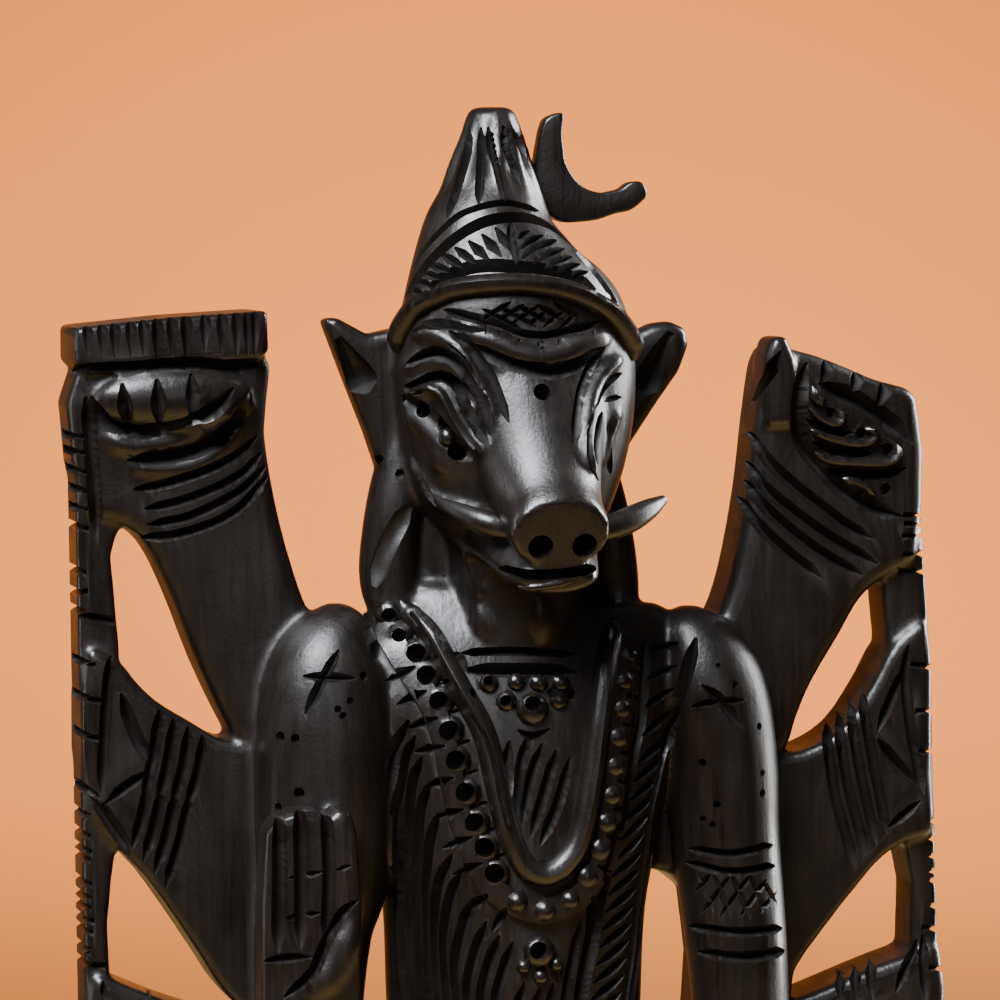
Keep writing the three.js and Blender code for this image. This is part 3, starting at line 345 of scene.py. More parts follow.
# V cuts: (line, width, depth)
CUTS = [
    # crown: edges of the band, its flutes, middle line and the furrow over the roll
    ((-15.1, 295.4, -12.3, 299.8, -8.8, 303.2, -6.7, 304.7, -4.5, 305.5, -2.4, 306, 0, 306.2, 2.5, 305.7,
      4.9, 304.9), 1.2, 1.2),
    ((-15.7, 292.2, -14.4, 294.4, -12.2, 297.3, -9.8, 299.6, -6.7, 301.9, -3, 303.6, 0.6, 304.1, 3.7, 303.8,
      6.4, 302.7, 8.5, 301, 11.1, 298.2, 13.9, 294.8, 16.9, 290.4), 1.9, 1.8),
    ((0.5, 303.6, 0.7, 301, 1.2, 298.9, 1.5, 297.1), 1.3, 1.2),
    ((-14, 291.6, -12.9, 292.7, -11.1, 294.5, -8.3, 296.1, -5.3, 297, -1.9, 297.2, 2.3, 296.8, 6.9, 296.2,
      10.8, 294.8, 13.3, 293.1, 14.9, 291.6), 2.2, 1.7),
    ((-5.3, 317.2, -5.7, 313.7, -7.2, 308.8, -8.8, 304.1), 1.7, 1.6),
    ((-3.6, 317.1, -3.7, 312.8, -4.1, 306.1), 1.5, 1.4),
    ((-2.5, 317.2, -2.1, 314.2, -1.3, 310.7, -0.4, 307.2, 0.1, 306.4), 1.1, 1),
    ((-0.2, 317.1, -0.1, 314.5, 0.8, 312.1, 2.2, 308.9), 1.3, 1.2),
    ((1, 317.4, 2.3, 313.6, 3.7, 309.7), 1.3, 1.2), ((1.1, 316.8, 2.2, 315.1, 3.1, 312.7), 1.1, 1),
    # border of the net and the line under it
    ((-9.6, 291, -6, 289.9, -2.8, 289.1, -0.6, 288.3, 1.9, 287.2, 5.5, 286.8, 9.2, 287.5, 12.1, 288.1,
      13.9, 288.8), 1.5, 1.2),
    ((-12.7, 289.2, -9.3, 288.8, -6.4, 288.2, -3.2, 287.8), 1.4, 1),
    # under the fold of the forehead
    ((-6.1, 286, -2.9, 284.5, 0.7, 282.9, 4.3, 281.9, 6.5, 281.7, 9.4, 282.4, 12, 283.8,
      14.6, 285), 2.1, 1.7),
    # ticks
    ((-3.1, 288.7, -3.5, 287.3), 0.9, 0.7), ((-1.1, 288.4, -1.4, 286.8), 0.9, 0.7),
    ((2.1, 287, 1.3, 285.8), 0.9, 0.7), ((4.6, 286.7, 4.8, 285, 5.4, 286.5), 0.9, 0.7),
    ((7.7, 286.7, 7.5, 285.3), 0.9, 0.7), ((10.5, 287.9, 10.2, 287), 0.9, 0.7),
    ((13, 287.9, 12.8, 286.4), 0.9, 0.7),
    # brow on the left
    ((-8.9, 287.9, -6.3, 286.2, -4.3, 283.8, -2.6, 280.9, -1.4, 277.7, -0.2, 274.5), 1.5, 1.1),
    ((-9.3, 286.1, -7.2, 284.3, -5.4, 281.7, -4, 278.9, -2.8, 276.2), 0.8, 0.8),
    ((-14.4, 287.9, -12.5, 288.7, -10, 288.1), 1.1, 0.9),
    # arcs over the eye on the left
    ((-15.2, 283.4, -13.3, 284.2, -11.1, 284.8, -9.2, 284.3, -7.5, 283, -6.1, 281, -4.8, 278.3, -3.5, 275.5,
      -2.9, 272.5), 1.5, 1.2),
    ((-15.2, 280.1, -13.6, 280.3, -11.8, 281.1, -9.7, 281.2, -8.1, 280.1, -7, 278, -5.8, 275.5, -4.4, 273,
      -3.2, 270.9), 1.8, 1.4),
    # brow on the right
    ((14.3, 284.5, 12.7, 283.1, 11.5, 281.1, 10.6, 278.8, 10.1, 275.8, 9.8, 273.3, 9.8, 270.9), 1.3, 1.1),
    ((16.9, 281.1, 15.2, 280.2, 13.8, 278.4, 12.8, 275.7, 12.1, 272.6, 12, 269.4, 12.5, 267.1,
      13.2, 265.5), 1.2, 1),
    ((16.8, 277.6, 15.4, 277.5, 14.2, 277), 0.9, 0.8),
    # cheek
    ((-14.9, 270.9, -14, 267.7, -12.6, 264.9, -11.3, 262.6), 1.2, 1),
    # upper left hand
    ((-63.8, 283.6, -59.8, 283.8, -55.1, 283.8, -50.3, 284, -45.5, 284, -41, 284, -36.8, 283.8), 2.3, 1.7),
    ((-56.7, 281.7, -56.4, 278.7, -55.9, 275.7), 2.3, 1.8),
    ((-51.7, 282.2, -51.5, 279, -51.5, 275.6), 2.4, 1.8),
    ((-46.7, 282.8, -46.5, 279.6, -46.8, 276.4), 2.4, 1.8),
    ((-61.2, 280, -59.3, 276.4, -57, 275.2, -51.7, 275.2, -46.9, 276, -43, 278, -40.5, 280.6), 2.5, 1.8),
    ((-56.2, 270.6, -52.5, 270.9, -48.2, 271.4, -44.6, 272.6, -41.9, 274.5, -39.7, 277.2,
      -38.5, 280), 2.5, 1.6),
    ((-37.3, 273.6, -39.8, 271.2, -43.9, 269.2, -48.3, 267.8, -51.9, 266.9, -55.5, 266.5), 1.6, 1.4),
    ((-36.7, 271.2, -39.4, 268.4, -43.5, 266.3, -48.3, 264.7, -51, 264.1, -53.9, 263.7), 1.6, 1.4),
    ((-36.2, 269.3, -38.9, 266.5, -42.3, 264.5, -47.2, 262.4, -50.3, 261.8, -53.5, 261.4), 1.6, 1.4),
    ((-36, 267.8, -38.5, 264.8, -40.9, 262.8, -44.8, 261, -49.7, 259.8, -54.5, 259.6), 1.6, 1.4),
    ((-62, 280, -61.4, 273.9, -61.1, 266.8, -60.8, 260.2), 2.3, 1.7),
    # second left hand
    ((-59.1, 242.9, -59.7, 239.1, -60.4, 232, -61, 223.2), 1.7, 1.6),
    ((-57.9, 237.5, -56.5, 233, -53.8, 226.8), 2, 1.7),
    ((-53.8, 226.2, -57.4, 224.1, -60.6, 221.7), 1.8, 1.7),
    ((-64.8, 225.7, -63, 224, -61.2, 222.5), 1.1, 0.9),
    ((-62.6, 222.9, -59.8, 218.5, -57.1, 214.1), 1.6, 1),
    ((-61, 222, -58.7, 218.2, -56.6, 214.8), 1.1, 0.9),
    ((-61.4, 196.3, -61.4, 194.9, -61.3, 193.5), 1.4, 1.2), ((-54.9, 194.5, -54.8, 193.1), 1.2, 1),
    # raised front hand
    ((-35.3, 217.9, -35.4, 209.1, -35.8, 198.5), 2.3, 1.7),
    ((-32.2, 219.4, -32.2, 209.6, -32.5, 199.5), 2.2, 1.7),
    ((-28.3, 218, -28.1, 210.2, -28.7, 199.9), 2, 1.6),
    ((-34.1, 209.6, -31.7, 209.9, -28.9, 210.3), 1.1, 0.7), ((-27.2, 210.4, -24.7, 211), 1.2, 0.9),
    ((-35, 203.7, -32.1, 204.1, -29.1, 204.4), 1.1, 0.7), ((-38, 197.7, -34.9, 198, -31, 198), 1.5, 1.2),
    ((-23.9, 205.9, -26.2, 204.2, -28.9, 199.9, -30.8, 195.8, -35.1, 192.3), 1.7, 1.7),
    # left shoulder
    ((-26, 242.4, -28.6, 238, -31.2, 233.3), 1.6, 1.3),
    ((-31.4, 238.8, -27.4, 238.5, -23.6, 238.1), 1.5, 1.2),
    # upper right hand
    ((45.2, 281.9, 43.9, 277.9, 43.7, 273.8, 44.6, 269.8, 47.4, 266.3, 50.7, 262.9, 55.8, 259.8,
      59.9, 258.7), 2.8, 2),
    ((41.3, 283.7, 39.4, 280.7, 36.6, 276.3), 2.3, 2.1),
    ((46.9, 278.9, 51.6, 276.7, 55.7, 274.2, 59.3, 271.6, 61.5, 269.4), 3, 2.2),
    ((44.9, 273.6, 47.2, 272.1, 49.8, 271.4, 52.2, 271.3), 1.7, 1.5),
    ((45.8, 270.2, 48.7, 268.9, 52, 268.3, 55.1, 268.2), 1.7, 1.7),
    ((47.4, 266.7, 50, 265.6, 52.8, 265.2, 56.4, 265.1, 60.5, 265.8), 1.9, 1.8),
    ((36, 271.9, 38.5, 268.3, 42.3, 264.5, 47.3, 260.5, 51.1, 257.6, 55.1, 255.5), 1.9, 1.6),
    ((35.5, 267.6, 38.4, 263.8, 43.5, 259.5, 48.5, 255.9, 55.8, 251.7), 1.9, 1.6),
    ((35.2, 264.8, 38.4, 260.9, 43.4, 256.4, 48.5, 252.8, 53.4, 250.2), 1.9, 1.6),
    ((34.2, 262.4, 37.6, 258.1, 42.1, 253.8, 47.2, 249.9), 1.9, 1.6),
    # second right hand
    ((60.4, 239.6, 59.9, 234.7, 60.5, 227.7, 61.8, 220.5, 62.6, 217), 1.8, 1.4),
    ((60, 236.5, 57.8, 232, 55.4, 226.8), 1.8, 1.7), ((55.4, 225.9, 58.2, 222.1, 61.8, 218.3), 1.8, 1.7),
    ((62.1, 216.2, 59.6, 214.3, 56.7, 212.2), 1.6, 1.2),
    ((62.1, 196.1, 62.2, 191.1, 62.6, 186.2), 1.6, 1.4),
    ((61.2, 195.4, 59.7, 191.6, 57.8, 187.6), 1.9, 1.6),
    # right shoulder, arm and armlet
    ((27.6, 242, 25.6, 235.5, 23.5, 229, 21.8, 222.8), 2.2, 1.6),
    ((28.3, 235, 31.4, 232.4, 34.5, 228.3), 1.8, 1.4), ((26.6, 231.8, 31, 232.3, 34.9, 232.4), 1.5, 1.3),
    ((25.9, 210.8, 32.4, 209.7, 38.9, 210.7), 1.5, 1.3), ((25.5, 208.8, 32.4, 207, 39.2, 207.6), 1.5, 1.3),
    ((25.8, 199.3, 33.4, 198, 40.2, 198.2), 1.6, 1.3), ((27.1, 195.4, 34, 194.2, 40.5, 194.8), 1.8, 1.4),
    *((line, 1, 0.8) for line in (
        (27.3, 207, 29.6, 201.2), (29.7, 207, 32.3, 200.4), (32.4, 206.9, 35.4, 199.9),
        (35.3, 206.7, 37.9, 200.6), (37.3, 205.6, 39.4, 202.1), (26.9, 204.4, 29.3, 206.9),
        (28, 201.3, 32.4, 206.5), (30.7, 200.5, 35.5, 206.4), (33.8, 200.3, 38, 205.7),
        (36.7, 200.5, 39.4, 203.7),
    )),
    # pleats on the left of the body
    ((-15.9, 231.8, -17.7, 227.9, -18.7, 221.9, -19.1, 212.7, -18.9, 201.3, -18.5, 191, -17.4, 178.2,
      -17, 164.7), 2, 1.5),
    ((-14.9, 229.5, -16.6, 225.6, -17.7, 218.4, -18, 208.9, -17.7, 197.4, -17.2, 190.9, -16.2, 178.1,
      -15.9, 164.6), 1.9, 1.5),
    ((-14, 226.4, -15.5, 222.3, -16.5, 214.5, -16.8, 205, -16.4, 196.2, -16.1, 190.8, -15, 178,
      -14.6, 164.5), 1.9, 1.5),
    ((-12.9, 222.6, -14.4, 217.9, -15.2, 209.5, -15.3, 201.1, -15.1, 190.8, -13.8, 177.9,
      -13.3, 164.4), 1.9, 1.5),
    ((-11.7, 218.1, -13.1, 213.2, -14.1, 205.6, -14.1, 197.2, -13.7, 190.7, -12.5, 177.9,
      -11.9, 164.3), 1.9, 1.5),
    ((-9.8, 211.9, -11.8, 207.8, -12.8, 201.7, -12.8, 195.2, -12.4, 190.6, -11, 177.8,
      -10.3, 164.2), 1.9, 1.5),
    ((-8.3, 209.7, -10.2, 205.4, -11.4, 199.7, -11.3, 193.9, -11, 190.5, -9.4, 177.7,
      -8.6, 164.1), 1.9, 1.5),
    ((-6.8, 205.4, -8.5, 200.7, -9.6, 195.8, -9.5, 190.5, -7.8, 177.6, -6.9, 164), 2, 1.5),
    ((-4.8, 201.8, -6.6, 197.1, -7.7, 193, -7.8, 190.4, -6, 177.4, -5, 163.8), 2, 1.5),
    ((-2.9, 199.6, -4.5, 195.5, -5.7, 190.2, -4.2, 177.3, -3, 163.7), 2, 1.5),
    ((-0.9, 198.5, -2.3, 194.6, -3.5, 190.1, -2.2, 177.2, -0.9, 163.6), 1.9, 1.4),
    ((0.8, 192.5, -0.5, 187.9, -0.2, 177.1, 1, 163.4), 1.8, 1.4),
    ((3.1, 191.6, 1.9, 187, 2, 176.9, 3, 163.3), 1.8, 1.4),
    ((5.1, 192.2, 4.3, 186.9, 4.1, 176.8, 4.9, 163.2), 1.8, 1.4),
    # edges of the hanging end and of the shawl
    ((9.4, 201, 8.2, 195.9, 6.9, 189.5, 6.2, 176.7, 6.6, 163.1), 1.7, 1.4),
    ((11.2, 204.6, 10.7, 198.5, 9.3, 192, 8.4, 184.3, 7.8, 174.6, 8.1, 163), 1.8, 1.5),
    ((20.1, 242.3, 19.1, 230.1, 18, 225.5, 16.4, 216.7, 15.2, 212.9, 13.8, 208, 12.6, 204.5, 11.8, 199.6,
      10.4, 193.8, 9.3, 188.1, 7.8, 176.6, 7, 163), 1.9, 1.5),
    ((24.9, 232.9, 22.6, 225.3, 20.5, 217.3, 19.6, 211.5, 18.3, 203.8, 17.2, 196.2, 16, 189.3, 14.6, 178.1,
      13.7, 162.6), 1.7, 1.4),
    ((20.4, 210.3, 19.3, 203, 18.1, 195.3, 17, 188.4, 15.6, 178, 14.7, 162.5), 1.4, 1.2),
    # teeth between the bosses of the outer garland
    *((line, 2, 1.6) for line in (
        (-14.7, 239.5, -19.2, 237.6), (-12.8, 240.3, -11.3, 240.9), (-13.1, 235.9, -17.6, 234.1),
        (-11.2, 236.7, -9.7, 237.3), (-11.5, 231.9, -16.1, 230.5), (-9.5, 232.5, -8, 233),
        (-10.5, 227.7, -15.2, 227), (-8.3, 228, -6.7, 228.3), (-9.3, 223, -13.9, 221.7),
        (-7.2, 223.5, -5.6, 223.9), (-7.9, 218.3, -12.6, 217.2), (-5.8, 218.8, -4.2, 219.2),
        (-6.6, 214.2, -11.2, 212.8), (-4.6, 214.8, -3, 215.3), (-5.2, 210.3, -9.8, 208.8),
        (-3.2, 211, -1.6, 211.5), (-4.5, 205.7, -8.3, 203), (-1.8, 203.6, -4, 200.1),
        (12, 209.2, 14.2, 208), (13.5, 213.3, 16, 212.7), (14.4, 217.3, 16.9, 216.8),
        (15.1, 221.5, 17.6, 221), (15.7, 225.6, 18.2, 225.3), (16.2, 229.8, 18.7, 229.4),
        (16.8, 233.9, 19.3, 233.5), (17.4, 237.7, 19.8, 237.2),
    )),
    # choker and pendant
    ((-7.9, 241.2, -3.5, 241.2, 2.4, 240.9, 9.3, 240.3), 1.3, 1.6),
    ((-7.5, 238.7, -1.6, 238.4, 4.3, 238.1, 9.5, 237.7), 2.2, 1.8),
    ((0.3, 229.6, 2.6, 228.4, 5.3, 229.5), 1.8, 1.5),
    ((-14.8, 248.3, -11.6, 244.8, -9, 241.2, -6.7, 238.1), 1.5, 1.2),
]

# Groups of V cuts that fan from the first to the last: (first, last, count, width, depth)
FANS = [
    ((-52.4, 234.9, -53.2, 229.3, -55, 221.7), (-46.2, 231, -46.7, 226.6, -48.8, 220.3), 4, 1.8, 1.7),
    ((-54.3, 224.3, -55.1, 220.2, -56.7, 215.1), (-48.1, 222.8, -49.8, 215.8, -52.1, 209.2), 4, 1.8, 1.7),
    ((47.3, 228.3, 48.7, 217.6, 51.7, 206.9), (52.9, 232.6, 54.7, 222.3, 56.8, 211.5), 4, 1.7, 1.6),
    ((48.9, 191.1, 49.2, 187), (53.7, 192.5, 54.2, 186.7), 3, 1.6, 1.3),
    # feathered band over the roll
    ((-1.7, 302.7, 1, 298.9), (-9.8, 299, -6.3, 296.9), 5, 1.8, 1.4),
    ((-11.7, 297.6, -8.3, 296.4), (-14.7, 293.8, -12.5, 293.6), 4, 1.4, 1.1),
    ((3.5, 302.1, 2.6, 301.7, 1.5, 300.9), (7.5, 300.7, 4.3, 299.7, 2, 298), 3, 1.1, 1),
    ((8.6, 299.4, 6.2, 298.8, 3.7, 297.3), (12.1, 296, 10.1, 295.7, 8.4, 295.1), 4, 1.1, 1),
    # net on the forehead
    ((-3.9, 291, 2.1, 287.7), (6.7, 291.7, 10.8, 289.2), 5, 0.9, 0.8),
    ((0.5, 291.9, -4.4, 289.2), (10.7, 290.1, 7.5, 287.7), 6, 0.9, 0.8),
    # shawl
    ((25, 241.2, 22.8, 240.9, 20.5, 240.2), (24.2, 231.4, 21.8, 229.8, 19.2, 227.8), 4, 1.6, 1.3),
    ((23.4, 227.6, 20.9, 225.7, 18.4, 223.9), (19.1, 213.3, 17.3, 211.6, 15.1, 209.9), 6, 1.6, 1.3),
    ((18.8, 210.6, 16.7, 209, 14.1, 207.2), (15.4, 190.1, 13, 188.3, 10.1, 186.5), 9, 1.6, 1.3),
    ((15.1, 187.4, 12.7, 185.6, 9.8, 183.8), (12.8, 166.9, 10.4, 165.1, 7.6, 163.4), 8, 1.6, 1.3),
    # folds inside the garland
    ((-0.9, 228.1, -1.4, 224.1, -0.7, 219.5), (1.8, 228.6, 0.6, 223.2, 0.1, 217.1), 2, 1.8, 1.3),
    ((4.1, 227.5, 2.3, 222.4, 0.8, 215.2), (8.2, 225.2, 6.5, 219.1, 3.5, 212.5), 3, 1.9, 1.4),
]

# Knife cuts that run out over a top edge: (line from the point of the cut outwards, width, depth)
SLITS = [
    *((ends, 2, 2.2) for ends in (
        (-63.3, 286.5, -63.3, 292.3), (-61.5, 285.9, -61.4, 292.4), (-59.4, 285.8, -59.3, 292.6),
        (-57.6, 285.3, -57.5, 292.8), (-55.3, 285.3, -55.2, 292.9), (-53.5, 285.6, -53.3, 293.1),
        (-51.6, 284.8, -51.3, 293.1), (-49.4, 285.4, -49.2, 293.3), (-47.4, 285, -47.1, 293.4),
        (-44.6, 285.8, -44.4, 293.6), (-42.2, 285.5, -41.9, 293.6), (-40, 285.3, -39.8, 293.8),
    )),
    *((ends, 1.4, 1.6) for ends in ((-38.5, 285, -38.3, 293.8), (-37.4, 285, -37.2, 293.8))),
    # between the raised fingers
    ((-35.5, 208.6, -35.2, 222.2), 2.4, 2.6), ((-32.4, 209, -32.1, 222.6), 2.2, 2.6),
    ((-28.3, 208.2, -28.2, 222.4), 2.2, 2.8),
    # knuckles of the upper right hand
    ((47.4, 278.4, 49.4, 283.9), 3, 3.2), ((52, 276.7, 54.2, 282.3), 3.2, 3.4),
    ((56, 274.8, 58.6, 280.5), 3.2, 3.4),
]

# Saw cuts across the front edge of the staves, each a line from left to right
NOTCHES = [
    (-64.6, 274.4, -61.6, 274.2), (-64.7, 272.2, -61.7, 271.9), (-64.8, 269.5, -62, 269.1),
    (-64.9, 266.8, -61.6, 266.3), (-64.9, 264.1, -61.9, 263.8), (-64.9, 261.5, -61.9, 261.1),
    (-64.7, 255.2, -62.4, 254.8), (-64.8, 252, -62.2, 252.2), (-64.8, 249.5, -58.5, 247.8),
    (-65.1, 242.2, -61.4, 241.6), (-65, 237.2, -60.7, 236.5), (-65.1, 231.8, -61, 231.1),
    (-65.2, 224, -63.4, 223.5), (-65.2, 220.4, -63.2, 219.9), (-65.2, 217.5, -62.7, 217.1),
    (-65.3, 215.3, -62.5, 214.8), (-65.3, 214, -62.8, 213.7), (-65.4, 210.5, -62.6, 210.2),
    (-65.3, 208.5, -62.9, 208.3), (-65.3, 207.1, -62.8, 206.8), (-65.3, 205.2, -62.4, 204.9),
    (-65.3, 203.6, -62.6, 203.3), (-65.2, 201, -63.1, 200.3), (-65, 198.8, -61, 198.4),
    (59.8, 258.8, 63.3, 258.7), (59.9, 257.5, 63.4, 257.2), (59.5, 255.7, 63.5, 255.7),
    (59.7, 253, 63.6, 252.9), (58.9, 250.4, 63.7, 250.3), (60.7, 236.5, 64.8, 235.9),
    (61.3, 229.6, 64.8, 229.4), (61.9, 223.5, 64.8, 223.4), (61.9, 197.1, 65, 196.7),
    (63, 191, 65.4, 190.6), (63.4, 204.2, 65, 204), (63.6, 207.9, 65, 207.7), (63.7, 213.1, 65, 212.9),
    (63.6, 210.5, 65, 210.3), (63.6, 205.6, 65.1, 205.4), (63.5, 200.4, 65.1, 200.2),
]

# Drilled holes: (place, radius, depth)
HOLES = [
    *((place, 1.1, 3.6) for place in BOSSES[:2]), *((place, 1.5, 3.6) for place in BOSSES[2:]),
    # choker, pendant and flower
    ((-3.9, 237), 0.8, 2), ((2.7, 233.4), 1.2, 3), ((3, 197), 1.35, 3), ((-5.9, 235.2), 1.1, 2.4),
    *((place, 0.9, 2.4) for place in ((-1.3, 233.9), (5.8, 234.8), (8.2, 234.6))),
    # dots of the crown
    *((place, 0.4, 1) for place in (
        (-2, 316.1), (-1.9, 315.3), (-1.7, 314.4), (-1.6, 313.5), (-1.4, 312.6), (-0.2, 317), (0, 315.8),
        (0.1, 314.7), (0.4, 313.6), (0.6, 312.5), (0.9, 311.5), (1.2, 310.5),
    )),
    # forehead, nostrils, eye and ear on the left
    ((4.9, 278.7), 1.3, 3.6), ((4.3, 256.1), 1.85, 6), ((10.9, 256.1), 1.85, 6), ((-9.7, 274.7), 1.3, 3),
    ((-7.9, 270.4), 1.5, 3), ((-12.8, 276.7), 1.25, 3), ((-19.4, 269.8), 0.9, 1.4),
    # dots of the upper arms
    *((place, 0.75, 1.2) for place in ((-22.4, 238.4), (-32.7, 229.8))),
    *((place, 0.6, 1) for place in ((-24.5, 234.9), (-26.3, 233.8), (-25.6, 232.8), (37.1, 228.4))),
    *((place, 0.7, 1.2) for place in ((-35.4, 220), (28.3, 223.4))), ((33.5, 234.8), 0.55, 0.9),
    ((37.5, 221.5), 0.55, 0.9), ((28.2, 215.1), 0.55, 1), ((29.7, 214.2), 0.55, 1),
    ((-34.9, 230.2), 0.85, 1.4), ((-32.3, 221.9), 0.9, 1.4), ((37.5, 218.5), 0.65, 1.1),
    ((30.4, 217.1), 0.65, 1.2), ((30.9, 237.7), 0.45, 0.7),
    # between the curled fingers
    ((57.1, 262.8), 0.9, 2.4), ((57.4, 268.7), 1, 2.6), ((53.4, 271.2), 0.9, 2.6),
    ((48.7, 274.4), 0.8, 2.6),
]

# Plain strokes behind, laid out squarely from there: (first, last, count, width, depth)
FANS_BEHIND = [
    # crown and hair
    ((-9, 296, -6.5, 306, -4, 315), (7, 296, 4.5, 306, 1, 315), 6, 1.7, 1.3),
    ((-13, 288, -6, 291, 1, 292, 7, 291, 14, 288), (-13, 284, -6, 287, 1, 288, 7, 287,
      14, 284), 2, 1.6, 1.2),
    ((-11.5, 278, -12.5, 258, -9.5, 240), (11.5, 278, 12.5, 258, 9.5, 240), 9, 1.7, 1.3),
    # shawl and pleats
    ((-19, 228, -17.5, 205, -16, 180), (17, 228, 16, 205, 14, 180), 10, 1.8, 1.3),
    # bracelets of the arms behind
    ((-57, 268, -40, 275), (-50, 250, -34, 258), 4, 1.8, 1.4),
    ((57, 268, 41, 275), (51, 250, 35, 258), 4, 1.8, 1.4),
    ((-50, 226, -42, 204), (-41, 231, -33, 212), 4, 1.8, 1.4),
    ((50, 226, 42, 204), (41, 231, 34, 212), 4, 1.8, 1.4),
]

# Shapes

def pairs(line):
    return list(zip(line[::2], line[1::2]))


def smooth_path(points, steps, closed=False):
    """Points on a smooth curve through the given ones, steps of them from each to the next."""
    knots = [Vector(p) for p in points]
    count = len(knots)
    if closed:
        before = knots[-1:] + knots[:-1]
        after = knots[1:] + knots[:1]
        spans = count
    else:
        before = knots[:1] + knots[:-1]
        after = knots[1:] + knots[-1:]
        spans = count - 1
    slopes = [(b - a) / ((b - k).length + (k - a).length) for a, k, b in zip(before, knots, after)]
    path = []
    for i in range(spans):
        j = (i + 1) % count
        span = (knots[j] - knots[i]).length
        for step in range(steps):
            t = step / steps
            path.append(
                knots[i] * (2 * t**3 - 3 * t**2 + 1)
                + slopes[i] * span * (t**3 - 2 * t**2 + t)
                + knots[j] * (3 * t**2 - 2 * t**3)
                + slopes[j] * span * (t**3 - t**2)
            )
    if not closed:
        path.append(knots[-1])
    return path


def sweep(places, sides):
    """A closed form through rings of that many sides, each a unit circle put in its place."""
    form = bmesh.new()
    rings = []
    for i, place in enumerate(places):
        at_end = i in (0, len(places) - 1)
        ring = bmesh.ops.create_circle(form, segments=sides, radius=1, cap_ends=at_end, matrix=place)
        rings.append(ring["verts"])
    loops = [{e for v in ring for e in v.link_edges} for ring in rings]
    for first, second in zip(loops, loops[1:]):
        bmesh.ops.bridge_loops(form, edges=list(first | second))
    return form, rings


def frame_of(centre, across, through, along):
    """The matrix that takes a unit circle to a ring at centre."""
    place = Matrix((across, through, along)).transposed().to_4x4()
    place.translation = centre
    return place


def loft(stations, sides, steps=4, flutes=0, caps_flat=False):
    """A form through elliptical sections, fluted all round where a flute depth is given."""
    path = smooth_path([tuple(s) + (0,) * (6 - len(s)) for s in stations], steps)
    centres = [Vector(p[:3]) for p in path]
    places = []
    for i, p in enumerate(path):
        along = (centres[min(i + 1, len(path) - 1)] - centres[max(i - 1, 0)]).normalized()
        if caps_flat:
            along = Vector((0, 0, 1))
        across = Vector((0, 1, 0)).cross(along).normalized()
        places.append(frame_of(centres[i], across * p[3], along.cross(across) * p[4], along))
    form, rings = sweep(places, sides)
    if flutes:
        for p, centre, ring in zip(path, centres, rings):
            for k, v in enumerate(ring):
                dip = 1 - abs(math.sin(math.pi * flutes * k / sides))
                v.co = centre + (v.co - centre) * (1 - dip * p[5] / p[3])
    return form


def moved_verts(grown):
    """The vertices of what an extrusion has made."""
    return [v for v in grown["geom"] if isinstance(v, bmesh.types.BMVert)]


def board(outline, middle, depth, edge, steps=1):
    """A flat part with rounded edges, cut from that outline; middle is its y."""
    form = bmesh.new()
    path = smooth_path(pairs(outline), steps, closed=True)
    face = form.faces.new([form.verts.new((x, middle - depth / 2, z)) for x, z in path])
    grown = bmesh.ops.extrude_face_region(form, geom=[face], use_keep_orig=True)
    bmesh.ops.translate(form, verts=moved_verts(grown), vec=(0, depth, 0))
    rims = [e for e in form.edges if abs(e.verts[0].co.y - e.verts[1].co.y) < depth / 2]
    bmesh.ops.bevel(
        form, geom=rims, offset=edge, offset_type="OFFSET", segments=3, profile=0.5,
        affect="EDGES", clamp_overlap=True, material=-1,
    )
    return form


def turned_to(normal):
    """The turn that takes +Z to the normal."""
    return normal.to_track_quat("Z", "Y").to_matrix().to_4x4()


def ball(centre, radii, turn=Matrix(), detail=3):
    form = bmesh.new()
    place = Matrix.Translation(centre) @ turn @ Matrix.Diagonal((*radii, 1))
    bmesh.ops.create_icosphere(form, subdivisions=detail, radius=1, matrix=place)
    return form


def mirrored(stations):
    return [(-s[0], *s[1:]) for s in stations]


def joined(forms):
    """One form made of several, which are used up."""
    whole = bmesh.new()
    for form in forms:
        bmesh.ops.recalc_face_normals(form, faces=form.faces)
        part = bpy.data.meshes.new("form")
        form.to_mesh(part)
        form.free()
        whole.from_mesh(part)
        bpy.data.meshes.remove(part)
    return whole


def thing(name, form, collection=None):
    """An object of that form, which is used up, in the form's own units."""
    mesh = bpy.data.meshes.new(name)
    bmesh.ops.triangulate(form, faces=[f for f in form.faces if len(f.verts) > 4])
    form.to_mesh(mesh)
    form.free()
    made = bpy.data.objects.new(name, mesh)
    (collection or bpy.context.scene.collection).objects.link(made)
    return made


def settle(made):
    """Applies the modifiers of an object."""
    bpy.context.view_layer.update()
    mesh = bpy.data.meshes.new_from_object(made.evaluated_get(bpy.context.evaluated_depsgraph_get()))
    made.modifiers.clear()
    old = made.data
    made.data = mesh
    bpy.data.meshes.remove(old)


# Looking the surface up

FAR = 200  # clear of the figure
FORWARDS = Vector((0, -1, 0))  # the way the figure looks


class Surface:
    """The surface of a form as it is now, found along straight lines of sight."""

    def __init__(self, form):
        self.tree = BVHTree.FromBMesh(form)

    def hit(self, start, towards):
        spot, normal, index, distance = self.tree.ray_cast(start, towards)
        return spot, normal

    def seen(self, point):
        """What the viewer sees at a point (x, z) of the upright plane through the middle."""
        return self.hit(EYE, Vector((point[0], 0, point[1])) - EYE)

    def seen_behind(self, point):
        """The same, looked at squarely from behind."""
        return self.hit(Vector((point[0], FAR, point[1])), FORWARDS)

    def beside(self, outwards, y, z):
        """The spot that is seen squarely from one side."""
        return self.hit(Vector((outwards.x * FAR, y, z)), -outwards)[0]


def surface_of(made):
    form = bmesh.new()
    form.from_mesh(made.data)
    return Surface(form)


